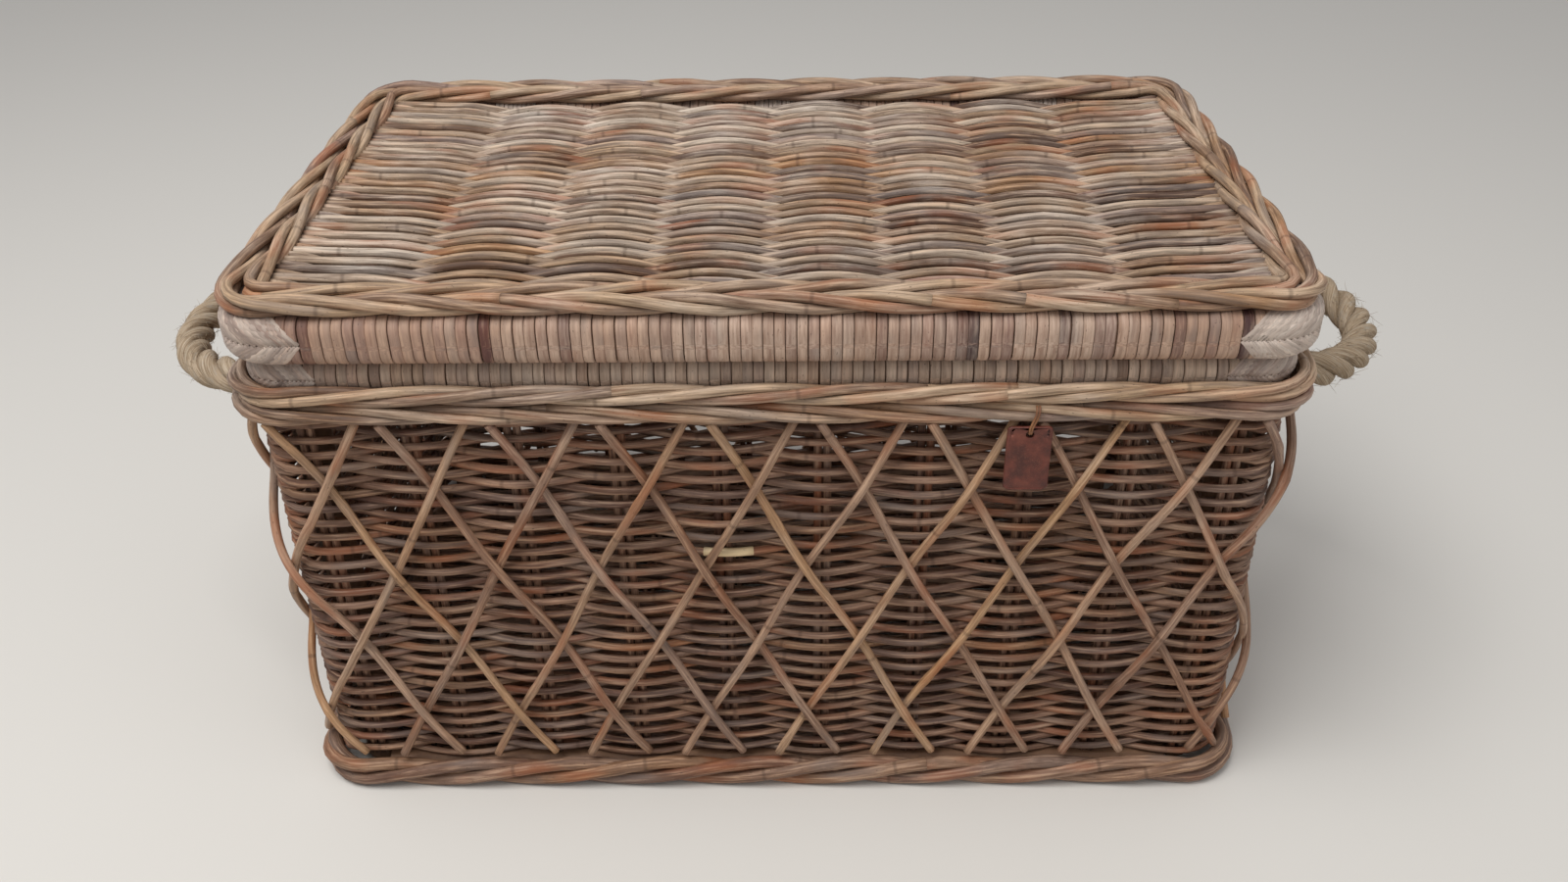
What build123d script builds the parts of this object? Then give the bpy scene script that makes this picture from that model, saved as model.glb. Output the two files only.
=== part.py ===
"""A lidded laundry hamper of woven rattan: wrapped frames, woven walls, a diamond lattice and rope handles.

Millimetres. The origin is the middle of the underside, +X to the right, the front looks along -Y, +Z is up.
"""

import math
import os

from build123d import *

# Woven walls
WALL_LENGTH = 672.0  # outside, along X
WALL_DEPTH = 402.0  # outside, along Y
WALL_HEIGHT = 315.7
WALL_THICKNESS = 17.0
CORNER_RADIUS = 30.0
WEAVE_PITCH = 5.74  # height of one woven row
WEAVE_GROOVE = 2.2  # how far the groove between two rows goes in
WEAVE_SLIT_ROWS = 6  # rows of slits where the weave is open between two stakes
WEAVE_SLIT_HEIGHT = 5.0
WEAVE_SLIT_INSET = 9.0  # from the middle of a stake to the end of a slit
STAKE_RADIUS = 3.5
LONG_STAKES = 10
SHORT_STAKES = 5
LONG_LAST_STAKE = 4.5  # from the end of a long wall's flat run to its last stake
SHORT_LAST_STAKE = 37.0

# Base and foot
FOOT_HEIGHT = 26.5
FOOT_WIDTH = 13.0
FOOT_EDGE = 3.8
BASE_POLE_RADIUS = 9.0
BASE_POLE_RISE = 1.0  # the base poles stand this far off the floor
BASE_WEAVE_THICKNESS = 13.0
BASE_RIB_RADIUS = 3.5
BASE_RIBS = 8

# Rim of the basket
RIM_RADIUS = 13.0  # outside of the cane wrapping
WALE_RADIUS = 6.5
WALE_DROP = 7.0  # the upper wale's middle lies this far below the middle of the rim
WALE_SPACING = 13.5
WRAP_THICKNESS = 2.0

# Lid
LID_OVERHANG = 9.0  # past the walls, all the way round
LID_RAIL = 33.0  # width and height of a wrapped lid rail
LID_RAIL_EDGE = 10.0
LID_CORNER_RADIUS = 38.0
LID_GAP = 0.5  # between the rim and the closed lid
LID_WEAVE_THICKNESS = 15.0
LID_WEAVE_RISE = 4.0  # the woven top stands this far above the rails
LID_ROW_PITCH = 6.9
LID_RIB_RADIUS = 3.5
LID_RIBS = 8
LID_LAST_RIB = 49.2  # from the end of the woven top to its last rib
BORDER_RADIUS = 6.8
BORDER_INSET = 8.5  # from the lid's outer face to the middle of the outer border row
BORDER_SPACING = 15.0

# Hinge of cane lashings
HINGE_PLACES = (-220.0, 0.0, 220.0)
LASHING_WIDTH = 34.0
HINGE_REACH = 2.8  # from the hinge line to the wrapped rail and to the wrapped rim
KNUCKLE_RADIUS = 2.5

# Diamond lattice
LATTICE_RADIUS = 3.1
LATTICE_PAIRS = 30  # pairs of crossing rods round the whole basket
LATTICE_SHIFT = 2.2  # pairs that a rod passes on its way down
LATTICE_START = 0.45  # share of a pair from the middle of the front to the first rod
LATTICE_SPREAD = 0.78  # share of a pair at the top between two rods that cross first
LATTICE_SIDES = 6
LATTICE_GAP = 0.6  # between the wall and the rods, and between the two layers of rods

# Rope handles
ROPE_RADIUS = 12.5
HANDLE_DROP = 34.0  # from the top of the wall to the middle of the rope's holes
HANDLE_TILT = 9.0  # degrees below level
HANDLE_SWING = 17.0  # degrees that a handle drops from rest
KNOT_RADIUS = 19.0
KNOT_NECK = 13.0
KNOT_LENGTH = 30.0
KNOT_BELLY = 14.0
# One handle seen square to its loop: outward from the middle of the wall, and along the wall
HANDLE_ROUTE = [
    (-19.0, 105.0),
    (40.0, 105.0),
    (90.0, 76.0),
    (119.0, 26.0),
    (119.0, -26.0),
    (90.0, -76.0),
    (40.0, -105.0),
    (-19.0, -105.0),
]
HANDLE_BEND_SHARE = 0.45  # share of the shorter run that each bend takes up

# Leather tag
TAG_WIDTH = 28.5
TAG_LENGTH = 47.0
TAG_THICKNESS = 2.4
TAG_EDGE = 2.5
TAG_PLACE = 163.0  # right of the middle
TAG_HOLE_RADIUS = 2.6
TAG_HOLE_INSET = 5.5
LACE_RADIUS = 0.9

# Fits
CLEARANCE = 0.3
BORE_CLEARANCE = 0.2  # round a stake or a rib in its woven bore

# Places that follow from the sizes above
half_length = WALL_LENGTH / 2
half_depth = WALL_DEPTH / 2
lid_length = WALL_LENGTH + 2 * LID_OVERHANG
lid_depth = WALL_DEPTH + 2 * LID_OVERHANG
corner_x = half_length - CORNER_RADIUS
corner_y = half_depth - CORNER_RADIUS
base_top = BASE_POLE_RISE + 2 * BASE_POLE_RADIUS
wall_bottom = base_top + CLEARANCE
wall_top = wall_bottom + WALL_HEIGHT
wall_middle = WALL_THICKNESS / 2
handle_height = wall_top - HANDLE_DROP
post_radius = CORNER_RADIUS - WALL_THICKNESS - CLEARANCE
rim_bottom = wall_top + CLEARANCE
rim_height = rim_bottom + RIM_RADIUS
rim_top = rim_bottom + 2 * RIM_RADIUS
rim_bend = CORNER_RADIUS - RIM_RADIUS
wale_stand_off = WALE_RADIUS + CLEARANCE
wale_high = rim_height - WALE_DROP
wale_low = wale_high - WALE_SPACING
lid_bottom = rim_top + LID_GAP
lid_height = lid_bottom + LID_RAIL / 2
lid_top = lid_bottom + LID_RAIL
lid_corner_x = lid_length / 2 - LID_CORNER_RADIUS
lid_corner_y = lid_depth / 2 - LID_CORNER_RADIUS
lid_bend = LID_CORNER_RADIUS - LID_RAIL / 2
rail_radius = LID_RAIL / 2
border_height = lid_top + CLEARANCE + BORDER_RADIUS
CORNER_SIGNS = ((1, -1), (1, 1), (-1, 1), (-1, -1))
POLYGON_SIDES = 8  # sides of a slim rod's section
POLE_SIDES = 12  # sides of a thick pole's section
ROPE_SIDES = 16  # sides of the rope's section
EDGE_STEPS = 3  # flats in a quarter turn of a rail's edge

os.makedirs("parts", exist_ok=True)


def spread(count, spacing):
    """Places of evenly spaced copies, centred on nought."""
    return [(i - (count - 1) / 2) * spacing for i in range(count)]


def spread_within(count, half_run, last):
    """Places of evenly spaced copies, the outer ones a set distance from the ends of the run."""
    return spread(count, 2 * (half_run - last) / (count - 1))


def slim_rod(radius):
    """Section of a slim rod, or of its bore."""
    RegularPolygon(radius, POLYGON_SIDES)


def round_pole(radius):
    """Section of a thick pole."""
    RegularPolygon(radius, POLE_SIDES)


def ridge_line(start, rows, pitch, crest, groove):
    """Zigzag of woven rows: a groove at each row's edge and a crest at its middle."""
    points = [(start, crest - groove)]
    for row in range(rows):
        points.append((start + (row + 0.5) * pitch, crest))
        points.append((start + (row + 1) * pitch, crest - groove))
    return points


def woven_profile(start, length, thickness, pitch, groove):
    """Closed outline of a woven panel with ridges on both faces, as (along, across) points."""
    rows = round(length / pitch)
    pitch = length / rows
    outer = ridge_line(start, rows, pitch, thickness, groove)
    inner = [(along, thickness - across) for along, across in outer]
    return outer + inner[::-1]


# Woven walls, each a panel of level rows with a bore for every stake and slits between the stakes
def slit_levels(start, length, pitch):
    """Levels of the rows of slits, each in the groove between two woven rows."""
    rows = round(length / pitch)
    grooves = [round((slit + 0.5) * rows / WEAVE_SLIT_ROWS) for slit in range(WEAVE_SLIT_ROWS)]
    return [start + groove * length / rows for groove in grooves]


def bay_middles(stakes):
    """Middles of the bays between neighbouring stakes."""
    return [(before + after) / 2 for before, after in zip(stakes, stakes[1:])]


def slit_size(stakes):
    """Height and length of a slit in a bay."""
    return WEAVE_SLIT_HEIGHT, stakes[1] - stakes[0] - 2 * WEAVE_SLIT_INSET


def slit_places(stakes, rope_holes):
    """Middles of a wall's slits as (height, along), clear of the rope holes."""
    places = []
    for height in slit_levels(wall_bottom, WALL_HEIGHT, WEAVE_PITCH):
        beside_hole = abs(height - handle_height) < rope_hole_height
        for bay in bay_middles(stakes):
            holed = any(abs(bay - hole) < stakes[1] - stakes[0] for hole in rope_holes)
            if not (beside_hole and holed):
                places.append((height, bay))
    return places


def wall_panel(name, half_run, stand, turn, stakes, rope_holes):
    """One wall: stand is the distance of its outside from the middle, turn faces it outward."""
    outward = Vector(math.cos(math.radians(turn)), math.sin(math.radians(turn)), 0)
    along = Vector(-outward.Y, outward.X, 0)
    section = Plane(origin=outward * (stand - WALL_THICKNESS), x_dir=outward, z_dir=-along)
    outline = woven_profile(wall_bottom, WALL_HEIGHT, WALL_THICKNESS, WEAVE_PITCH, WEAVE_GROOVE)
    with BuildPart() as panel:
        with BuildSketch(section):
            with BuildLine():
                Polyline([(across, height) for height, across in outline], close=True)
            make_face()
        extrude(amount=half_run - BORE_CLEARANCE, both=True)
        bores = [outward * (stand - wall_middle) + along * place for place in stakes]
        with BuildSketch(Plane.XY.offset(wall_bottom)):
            with Locations(*[(bore.X, bore.Y) for bore in bores]):
                slim_rod(STAKE_RADIUS + BORE_CLEARANCE)
        extrude(amount=WALL_HEIGHT, mode=Mode.SUBTRACT)
        hole_plane = Plane(origin=outward * stand, x_dir=(0, 0, 1), z_dir=outward)
        with BuildSketch(hole_plane):
            with Locations(*slit_places(stakes, rope_holes)):
                Rectangle(*slit_size(stakes))
        extrude(amount=2 * WALL_THICKNESS, both=True, mode=Mode.SUBTRACT)
        if rope_holes:
            with BuildSketch(hole_plane):
                with Locations(*[(handle_height, place) for place in rope_holes]):
                    SlotOverall(rope_hole_height, 2 * (ROPE_RADIUS + CLEARANCE))
            extrude(amount=2 * WALL_THICKNESS, both=True, mode=Mode.SUBTRACT)
    panel.part.label = f"woven_{name}"
    export_step(panel.part, f"parts/woven_{name}.step")

    with BuildPart() as rods:
        with BuildSketch(Plane.XY.offset(wall_bottom)):
            with Locations(*[(bore.X, bore.Y) for bore in bores]):
                slim_rod(STAKE_RADIUS)
        extrude(amount=WALL_HEIGHT)
    rods.part.label = f"{name}_stakes"
    export_step(rods.part, f"parts/{name}_stakes.step")


lowest_tilt = math.radians(HANDLE_TILT + HANDLE_SWING)
rope_hole_height = 2 * (
    ROPE_RADIUS / math.cos(lowest_tilt) + wall_middle * math.tan(lowest_tilt) + 2 * CLEARANCE
)
rope_places = [HANDLE_ROUTE[0][1], HANDLE_ROUTE[-1][1]]
long_stakes = spread_within(LONG_STAKES, corner_x, LONG_LAST_STAKE)
short_stakes = spread_within(SHORT_STAKES, corner_y, SHORT_LAST_STAKE)
wall_panel("front", corner_x, half_depth, -90, long_stakes, [])
wall_panel("back", corner_x, half_depth, 90, long_stakes, [])
wall_panel("left", corner_y, half_length, 180, short_stakes, rope_places)
wall_panel("right", corner_y, half_length, 0, short_stakes, rope_places)

# Quarter turns of the weave round the corner posts
with BuildPart() as woven_corners:
    with BuildSketch(Plane.XY.offset(wall_bottom)):
        with Locations((corner_x, corner_y)):
            Circle(CORNER_RADIUS)
            Circle(CORNER_RADIUS - WALL_THICKNESS, mode=Mode.SUBTRACT)
            Rectangle(CORNER_RADIUS, CORNER_RADIUS, align=(Align.MIN, Align.MIN), mode=Mode.INTERSECT)
    extrude(amount=WALL_HEIGHT)
    mirror(about=Plane.XZ)
    mirror(about=Plane.YZ)
woven_corners.part.label = "woven_corners"
export_step(woven_corners.part, "parts/woven_corners.step")

# Corner posts stand inside the turns of the weave, from the base poles to the rim
with BuildPart() as corner_posts:
    with BuildSketch(Plane.XY.offset(BASE_POLE_RISE)):
        with Locations(*[(sx * corner_x, sy * corner_y) for sx, sy in CORNER_SIGNS]):
            round_pole(post_radius)
    extrude(amount=wall_top - BASE_POLE_RISE)
corner_posts.part.label = "corner_posts"
export_step(corner_posts.part, "parts/corner_posts.step")

# Base poles under the walls, between the corner posts
base_inset = BASE_POLE_RADIUS + CLEARANCE
base_height = BASE_POLE_RISE + BASE_POLE_RADIUS
for name, run, axis, places in (
    ("base_long_poles", corner_x, Axis.X, [(0, half_depth - base_inset), (0, base_inset - half_depth)]),
    ("base_short_poles", corner_y, Axis.Y, [(half_length - base_inset, 0), (base_inset - half_length, 0)]),
):
    with BuildPart() as poles:
        for x, y in places:
            with BuildSketch(Plane(origin=(x, y, base_height), z_dir=axis.direction)):
                round_pole(BASE_POLE_RADIUS)
            extrude(amount=run - post_radius - CLEARANCE, both=True)
    poles.part.label = name
    export_step(poles.part, f"parts/{name}.step")

# Woven base between the base poles, stepped round the corner posts, on ribs that run front to back
base_reach_x = half_length - 2 * base_inset
base_reach_y = half_depth - 2 * base_inset
base_weave_bottom = base_top - BASE_WEAVE_THICKNESS
base_rib_height = base_top - BASE_WEAVE_THICKNESS / 2
base_rib_spacing = 2 * corner_x / BASE_RIBS
with BuildPart() as base_weave:
    base_outline = woven_profile(
        -base_reach_y, 2 * base_reach_y, BASE_WEAVE_THICKNESS, LID_ROW_PITCH, WEAVE_GROOVE
    )
    with BuildSketch(Plane(origin=(0, 0, base_weave_bottom), x_dir=(0, 1, 0), z_dir=(1, 0, 0))):
        with BuildLine():
            Polyline(base_outline, close=True)
        make_face()
    extrude(amount=base_reach_x, both=True)
    post_step = post_radius + CLEARANCE
    with BuildSketch(Plane.XY.offset(base_weave_bottom)):
        Rectangle(2 * base_reach_x, 2 * (corner_y - post_step))
        Rectangle(2 * (corner_x - post_step), 2 * base_reach_y)
    extrude(amount=BASE_WEAVE_THICKNESS, mode=Mode.INTERSECT)
    for place in spread(BASE_RIBS, base_rib_spacing):
        with BuildSketch(Plane(origin=(place, 0, base_rib_height), z_dir=(0, 1, 0))):
            slim_rod(BASE_RIB_RADIUS + BORE_CLEARANCE)
        extrude(amount=half_depth, both=True, mode=Mode.SUBTRACT)
base_weave.part.label = "base_weave"
export_step(base_weave.part, "parts/base_weave.step")

with BuildPart() as base_ribs:
    for place in spread(BASE_RIBS, base_rib_spacing):
        with BuildSketch(Plane(origin=(place, 0, base_rib_height), z_dir=(0, 1, 0))):
            slim_rod(BASE_RIB_RADIUS)
        extrude(amount=base_reach_y, both=True)
base_ribs.part.label = "base_ribs"
export_step(base_ribs.part, "parts/base_ribs.step")

# Foot border round the foot of the walls: four runs and four turns, flat underneath
foot_stand = CLEARANCE + FOOT_WIDTH / 2
for name, run, turn, stand in (
    ("front", corner_x, -90, half_depth),
    ("back", corner_x, 90, half_depth),
    ("left", corner_y, 180, half_length),
    ("right", corner_y, 0, half_length),
):
    outward = Vector(math.cos(math.radians(turn)), math.sin(math.radians(turn)), 0)
    with BuildPart() as foot_run:
        with BuildSketch(Plane(origin=outward * (stand + foot_stand), x_dir=outward, z_dir=(0, 0, 1))):
            Rectangle(FOOT_WIDTH, 2 * run)
        extrude(amount=FOOT_HEIGHT)
        run_axis = Axis.X if abs(outward.Y) > abs(outward.X) else Axis.Y
        chamfer(foot_run.edges().filter_by(run_axis), FOOT_EDGE)
    foot_run.part.label = f"foot_border_{name}"
    export_step(foot_run.part, f"parts/foot_border_{name}.step")

with BuildPart() as foot_border_turns:
    with BuildSketch(
        Plane(origin=(corner_x, corner_y, 0), x_dir=(1, 0, 0), z_dir=(0, -1, 0))
    ) as turn_section:
        with Locations((CORNER_RADIUS + foot_stand, FOOT_HEIGHT / 2)):
            Rectangle(FOOT_WIDTH, FOOT_HEIGHT)
        chamfer(turn_section.vertices(), FOOT_EDGE)
    revolve(axis=Axis((corner_x, corner_y, 0), (0, 0, 1)), revolution_arc=90)
    mirror(about=Plane.XZ)
    mirror(about=Plane.YZ)
foot_border_turns.part.label = "foot_border_turns"
export_step(foot_border_turns.part, "parts/foot_border_turns.step")


# Rings that run all the way round: two wale rows under the rim and two border rows on the lid
def ring(name, reach_x, reach_y, radius, height, section_radius):
    """A rod bent round a rounded rectangle."""
    with BuildPart() as rod:
        with BuildLine(Plane.XY.offset(height)) as path:
            FilletPolyline(
                [(sx * reach_x, sy * reach_y) for sx, sy in CORNER_SIGNS],
                radius=radius,
                close=True,
            )
        loop = path.wires()[0]
        with BuildSketch(Plane(origin=loop @ 0, x_dir=(0, 0, 1), z_dir=loop % 0)):
            slim_rod(section_radius)
        sweep(path=loop)
    rod.part.label = name
    export_step(rod.part, f"parts/{name}.step")


for name, height in (("wale_upper", wale_high), ("wale_lower", wale_low)):
    ring(
        name,
        half_length + wale_stand_off,
        half_depth + wale_stand_off,
        CORNER_RADIUS + wale_stand_off,
        height,
        WALE_RADIUS,
    )
for name, inset in (
    ("lid_border_outer", BORDER_INSET),
    ("lid_border_inner", BORDER_INSET + BORDER_SPACING),
):
    ring(
        name,
        lid_length / 2 - inset,
        lid_depth / 2 - inset,
        LID_CORNER_RADIUS - inset,
        border_height,
        BORDER_RADIUS,
    )


# Wrapped rails: a pole inside a sleeve of wound cane, with a gap in the sleeve at each hinge lashing
def runs_between(half_run, gaps):
    """Start and end of the wrapped stretches left between the lashings."""
    edges = [-half_run]
    for gap in gaps:
        edges += [gap - LASHING_WIDTH / 2, gap + LASHING_WIDTH / 2]
    edges.append(half_run)
    return list(zip(edges[0::2], edges[1::2]))


def rail_section(size, edge):
    """Section of a rail: round where the edge takes up the whole side, else a rounded square."""
    flat = size / 2 - edge
    points = []
    for corner, (side_x, side_y) in enumerate(((1, 1), (-1, 1), (-1, -1), (1, -1))):
        for step in range(EDGE_STEPS + 1):
            angle = math.pi / 2 * (corner + step / EDGE_STEPS)
            point = (side_x * flat + edge * math.cos(angle), side_y * flat + edge * math.sin(angle))
            if not points or math.dist(point, points[-1]) > CLEARANCE:
                points.append(point)
    if math.dist(points[0], points[-1]) < CLEARANCE:
        points.pop()
    Polygon(*points, align=None)


def cane_sleeves(name, origin, direction, runs, size, edge):
    """Hollow wrappings along a rail, one for each run from start to end."""
    with BuildPart() as sleeves:
        for start, end in runs:
            with BuildSketch(Plane(origin=origin, z_dir=direction).offset(start)):
                rail_section(size, edge)
            extrude(amount=end - start)
        for start, end in runs:
            with BuildSketch(Plane(origin=origin, z_dir=direction).offset(start)):
                rail_section(size - 2 * WRAP_THICKNESS, edge - WRAP_THICKNESS)
            extrude(amount=end - start, mode=Mode.SUBTRACT)
    sleeves.part.label = name
    export_step(sleeves.part, f"parts/{name}.step")


def wrapped_rail(name, origin, direction, half_run, size, edge, gaps):
    """A pole and its cane wrapping as two pieces."""
    pole_size = size - 2 * WRAP_THICKNESS - 2 * BORE_CLEARANCE
    with BuildPart() as pole:
        with BuildSketch(Plane(origin=origin, z_dir=direction)):
            rail_section(pole_size, edge - WRAP_THICKNESS - BORE_CLEARANCE)
        extrude(amount=half_run, both=True)
    pole.part.label = f"{name}_pole"
    export_step(pole.part, f"parts/{name}_pole.step")
    cane_sleeves(f"{name}_wrap", origin, direction, runs_between(half_run, gaps), size, edge)


ALONG_X = (1, 0, 0)
ALONG_Y = (0, 1, 0)
rim_y = half_depth - RIM_RADIUS
rim_x = half_length - RIM_RADIUS
rail_y = lid_depth / 2 - rail_radius
rail_x = lid_length / 2 - rail_radius
rim_size = 2 * RIM_RADIUS
wrapped_rail("rim_front", (0, -rim_y, rim_height), ALONG_X, corner_x, rim_size, RIM_RADIUS, [])
wrapped_rail("rim_back", (0, rim_y, rim_height), ALONG_X, corner_x, rim_size, RIM_RADIUS, HINGE_PLACES)
wrapped_rail("rim_left", (-rim_x, 0, rim_height), ALONG_Y, corner_y, rim_size, RIM_RADIUS, [])
wrapped_rail("rim_right", (rim_x, 0, rim_height), ALONG_Y, corner_y, rim_size, RIM_RADIUS, [])
wrapped_rail("lid_front", (0, -rail_y, lid_height), ALONG_X, lid_corner_x, LID_RAIL, LID_RAIL_EDGE, [])
wrapped_rail("lid_back", (0, rail_y, lid_height), ALONG_X, lid_corner_x, LID_RAIL, rail_radius, HINGE_PLACES)
wrapped_rail("lid_left", (-rail_x, 0, lid_height), ALONG_Y, lid_corner_y, LID_RAIL, LID_RAIL_EDGE, [])
wrapped_rail("lid_right", (rail_x, 0, lid_height), ALONG_Y, lid_corner_y, LID_RAIL, LID_RAIL_EDGE, [])


# Bound corners join the rails: a quarter turn of the rail's own section
def bound_corners(name, x, y, bend, height, size, edge, mirror_planes):
    """A quarter turn at the back right corner, and its copies at the corners that the mirrors reach."""
    with BuildPart() as corners:
        with BuildSketch(Plane(origin=(x, y, height), x_dir=(1, 0, 0), z_dir=(0, -1, 0))):
            with Locations((bend, 0)):
                rail_section(size, edge)
        revolve(axis=Axis((x, y, height), (0, 0, 1)), revolution_arc=90)
        for plane in mirror_planes:
            mirror(about=plane)
    corners.part.label = name
    export_step(corners.part, f"parts/{name}.step")


bound_corners(
    "rim_corner_bindings", corner_x, corner_y, rim_bend, rim_height, rim_size, RIM_RADIUS,
    (Plane.XZ, Plane.YZ),
)
bound_corners(
    "lid_back_corners", lid_corner_x, lid_corner_y, lid_bend, lid_height, LID_RAIL, rail_radius,
    (Plane.YZ,),
)
with BuildPart() as lid_front_corners:
    with BuildSketch(Plane(origin=(lid_corner_x, -lid_corner_y, lid_height), x_dir=ALONG_X, z_dir=(0, -1, 0))):
        with Locations((lid_bend, 0)):
            rail_section(LID_RAIL, LID_RAIL_EDGE)
    revolve(axis=Axis((lid_corner_x, -lid_corner_y, lid_height), (0, 0, -1)), revolution_arc=90)
    mirror(about=Plane.YZ)
lid_front_corners.part.label = "lid_front_corners"
export_step(lid_front_corners.part, "parts/lid_front_corners.step")

# Woven top of the lid between the rails, on ribs that run front to back
weave_x = lid_length / 2 - LID_RAIL - CLEARANCE
weave_y = lid_depth / 2 - LID_RAIL - CLEARANCE
weave_top = lid_top + LID_WEAVE_RISE
lid_rib_height = weave_top - LID_WEAVE_THICKNESS / 2
lid_rib_places = spread_within(LID_RIBS, weave_x, LID_LAST_RIB)
with BuildPart() as lid_weave:
    lid_outline = woven_profile(-weave_y, 2 * weave_y, LID_WEAVE_THICKNESS, LID_ROW_PITCH, WEAVE_GROOVE)
    with BuildSketch(
        Plane(origin=(0, 0, weave_top - LID_WEAVE_THICKNESS), x_dir=(0, 1, 0), z_dir=(1, 0, 0))
    ):
        with BuildLine():
            Polyline(lid_outline, close=True)
        make_face()
    extrude(amount=weave_x, both=True)
    with BuildSketch(Plane.XY.offset(weave_top - LID_WEAVE_THICKNESS)):
        RectangleRounded(2 * weave_x, 2 * weave_y, LID_CORNER_RADIUS - LID_RAIL - CLEARANCE)
    extrude(amount=LID_WEAVE_THICKNESS, mode=Mode.INTERSECT)
    for place in lid_rib_places:
        with BuildSketch(Plane(origin=(place, 0, lid_rib_height), z_dir=(0, 1, 0))):
            slim_rod(LID_RIB_RADIUS + BORE_CLEARANCE)
        extrude(amount=lid_depth, both=True, mode=Mode.SUBTRACT)
    slit_height, slit_length = slit_size(lid_rib_places)
    with BuildSketch(Plane.XY.offset(lid_rib_height)):
        for level in slit_levels(-weave_y, 2 * weave_y, LID_ROW_PITCH):
            with Locations(*[(bay, level) for bay in bay_middles(lid_rib_places)]):
                Rectangle(slit_length, slit_height)
    extrude(amount=LID_WEAVE_THICKNESS, both=True, mode=Mode.SUBTRACT)
lid_weave.part.label = "lid_weave"
export_step(lid_weave.part, "parts/lid_weave.step")

with BuildPart() as lid_ribs:
    for place in lid_rib_places:
        with BuildSketch(Plane(origin=(place, 0, lid_rib_height), z_dir=(0, 1, 0))):
            slim_rod(LID_RIB_RADIUS)
        extrude(amount=weave_y, both=True)
lid_ribs.part.label = "lid_ribs"
export_step(lid_ribs.part, "parts/lid_ribs.step")

# Hinge: cane lashed round the back rail and round the rim, crossing over a short rod on the hinge line.
# The hinge line lies behind both, at the same reach from each.
across = math.hypot(rail_y - rim_y, lid_height - rim_height)
rail_arm = rail_radius + HINGE_REACH
rim_arm = RIM_RADIUS + HINGE_REACH
along_arm = (rim_arm**2 - rail_arm**2 + across**2) / (2 * across)
off_arm = math.sqrt(rim_arm**2 - along_arm**2)
unit_y = (rail_y - rim_y) / across
unit_z = (lid_height - rim_height) / across
hinge_y = rim_y + unit_y * along_arm + unit_z * off_arm
hinge_z = rim_height + unit_z * along_arm - unit_y * off_arm

lashing_runs = [(place - LASHING_WIDTH / 2, place + LASHING_WIDTH / 2) for place in HINGE_PLACES]
cane_sleeves("rim_hinge_lashings", (0, rim_y, rim_height), ALONG_X, lashing_runs, rim_size, RIM_RADIUS)
cane_sleeves("lid_hinge_lashings", (0, rail_y, lid_height), ALONG_X, lashing_runs, LID_RAIL, rail_radius)

with BuildPart() as hinge_knuckles:
    for place in HINGE_PLACES:
        with BuildSketch(Plane(origin=(place, hinge_y, hinge_z), z_dir=ALONG_X)):
            Circle(KNUCKLE_RADIUS)
        extrude(amount=LASHING_WIDTH / 2, both=True)
hinge_knuckles.part.label = "hinge_knuckles"
export_step(hinge_knuckles.part, "parts/hinge_knuckles.step")

# Diamond lattice: two layers of slanting rods on the outside of the walls, from the wale to the foot border
perimeter = 4 * (corner_x + corner_y) + 2 * math.pi * CORNER_RADIUS
arc_length = math.pi / 2 * CORNER_RADIUS
lattice_slope = LATTICE_SHIFT * perimeter / LATTICE_PAIRS
rod_end_room = CLEARANCE + LATTICE_RADIUS
lattice_top = wale_low - WALE_RADIUS - rod_end_room
lattice_bottom = FOOT_HEIGHT + rod_end_room
SIDE_RUNS = (2 * corner_x, 2 * corner_y, 2 * corner_x, 2 * corner_y)


def corner_arcs():
    """Start and end of each rounded corner, measured along the wall from the middle of the front."""
    arcs = []
    here = -corner_x
    for lap in range(2):
        for side, run in enumerate(SIDE_RUNS):
            here += run
            arcs.append((here, here + arc_length, side))
            here += arc_length
    return arcs + [(start - 2 * perimeter, end - 2 * perimeter, side) for start, end, side in arcs]


def wall_point(distance, stand_off, height):
    """A point outside the wall, at a distance along it from the middle of the front towards +X."""
    rest = (distance + corner_x) % perimeter
    for side, run in enumerate(SIDE_RUNS):
        heading = math.pi / 2 * side
        signs = CORNER_SIGNS[side - 1]
        if rest <= run:
            reach = CORNER_RADIUS + stand_off
            x = signs[0] * corner_x + reach * math.sin(heading) + rest * math.cos(heading)
            y = signs[1] * corner_y - reach * math.cos(heading) + rest * math.sin(heading)
            return Vector(x, y, height)
        rest -= run
        if rest <= arc_length:
            signs = CORNER_SIGNS[side]
            angle = heading - math.pi / 2 + rest / CORNER_RADIUS
            reach = CORNER_RADIUS + stand_off
            x = signs[0] * corner_x + reach * math.cos(angle)
            y = signs[1] * corner_y + reach * math.sin(angle)
            return Vector(x, y, height)
        rest -= arc_length
    return Vector(0, -half_depth - stand_off, height)


def rod_route(start, way, stand_off):
    """Points of one slanting rod: its two ends, and the corner that it goes round, if any."""
    fall = lattice_top - lattice_bottom

    def height_at(distance):
        return lattice_top - fall * abs(distance - start) / lattice_slope

    low, high = sorted((start, start + way * lattice_slope))
    corner = None
    for arc_start, arc_end, side in corner_arcs():
        if low < arc_start and arc_end < high:
            corner = (arc_start, arc_end, side)
        elif arc_start <= low < arc_end:
            low = arc_end
        elif arc_start < high <= arc_end:
            high = arc_start
    ends = [wall_point(place, stand_off, height_at(place)) for place in (low, high)]
    if corner is None:
        return ends
    signs = CORNER_SIGNS[corner[2]]
    apex = Vector(
        signs[0] * (half_length + stand_off),
        signs[1] * (half_depth + stand_off),
        height_at((corner[0] + corner[1]) / 2),
    )
    return [ends[0], apex, ends[1]]


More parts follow.
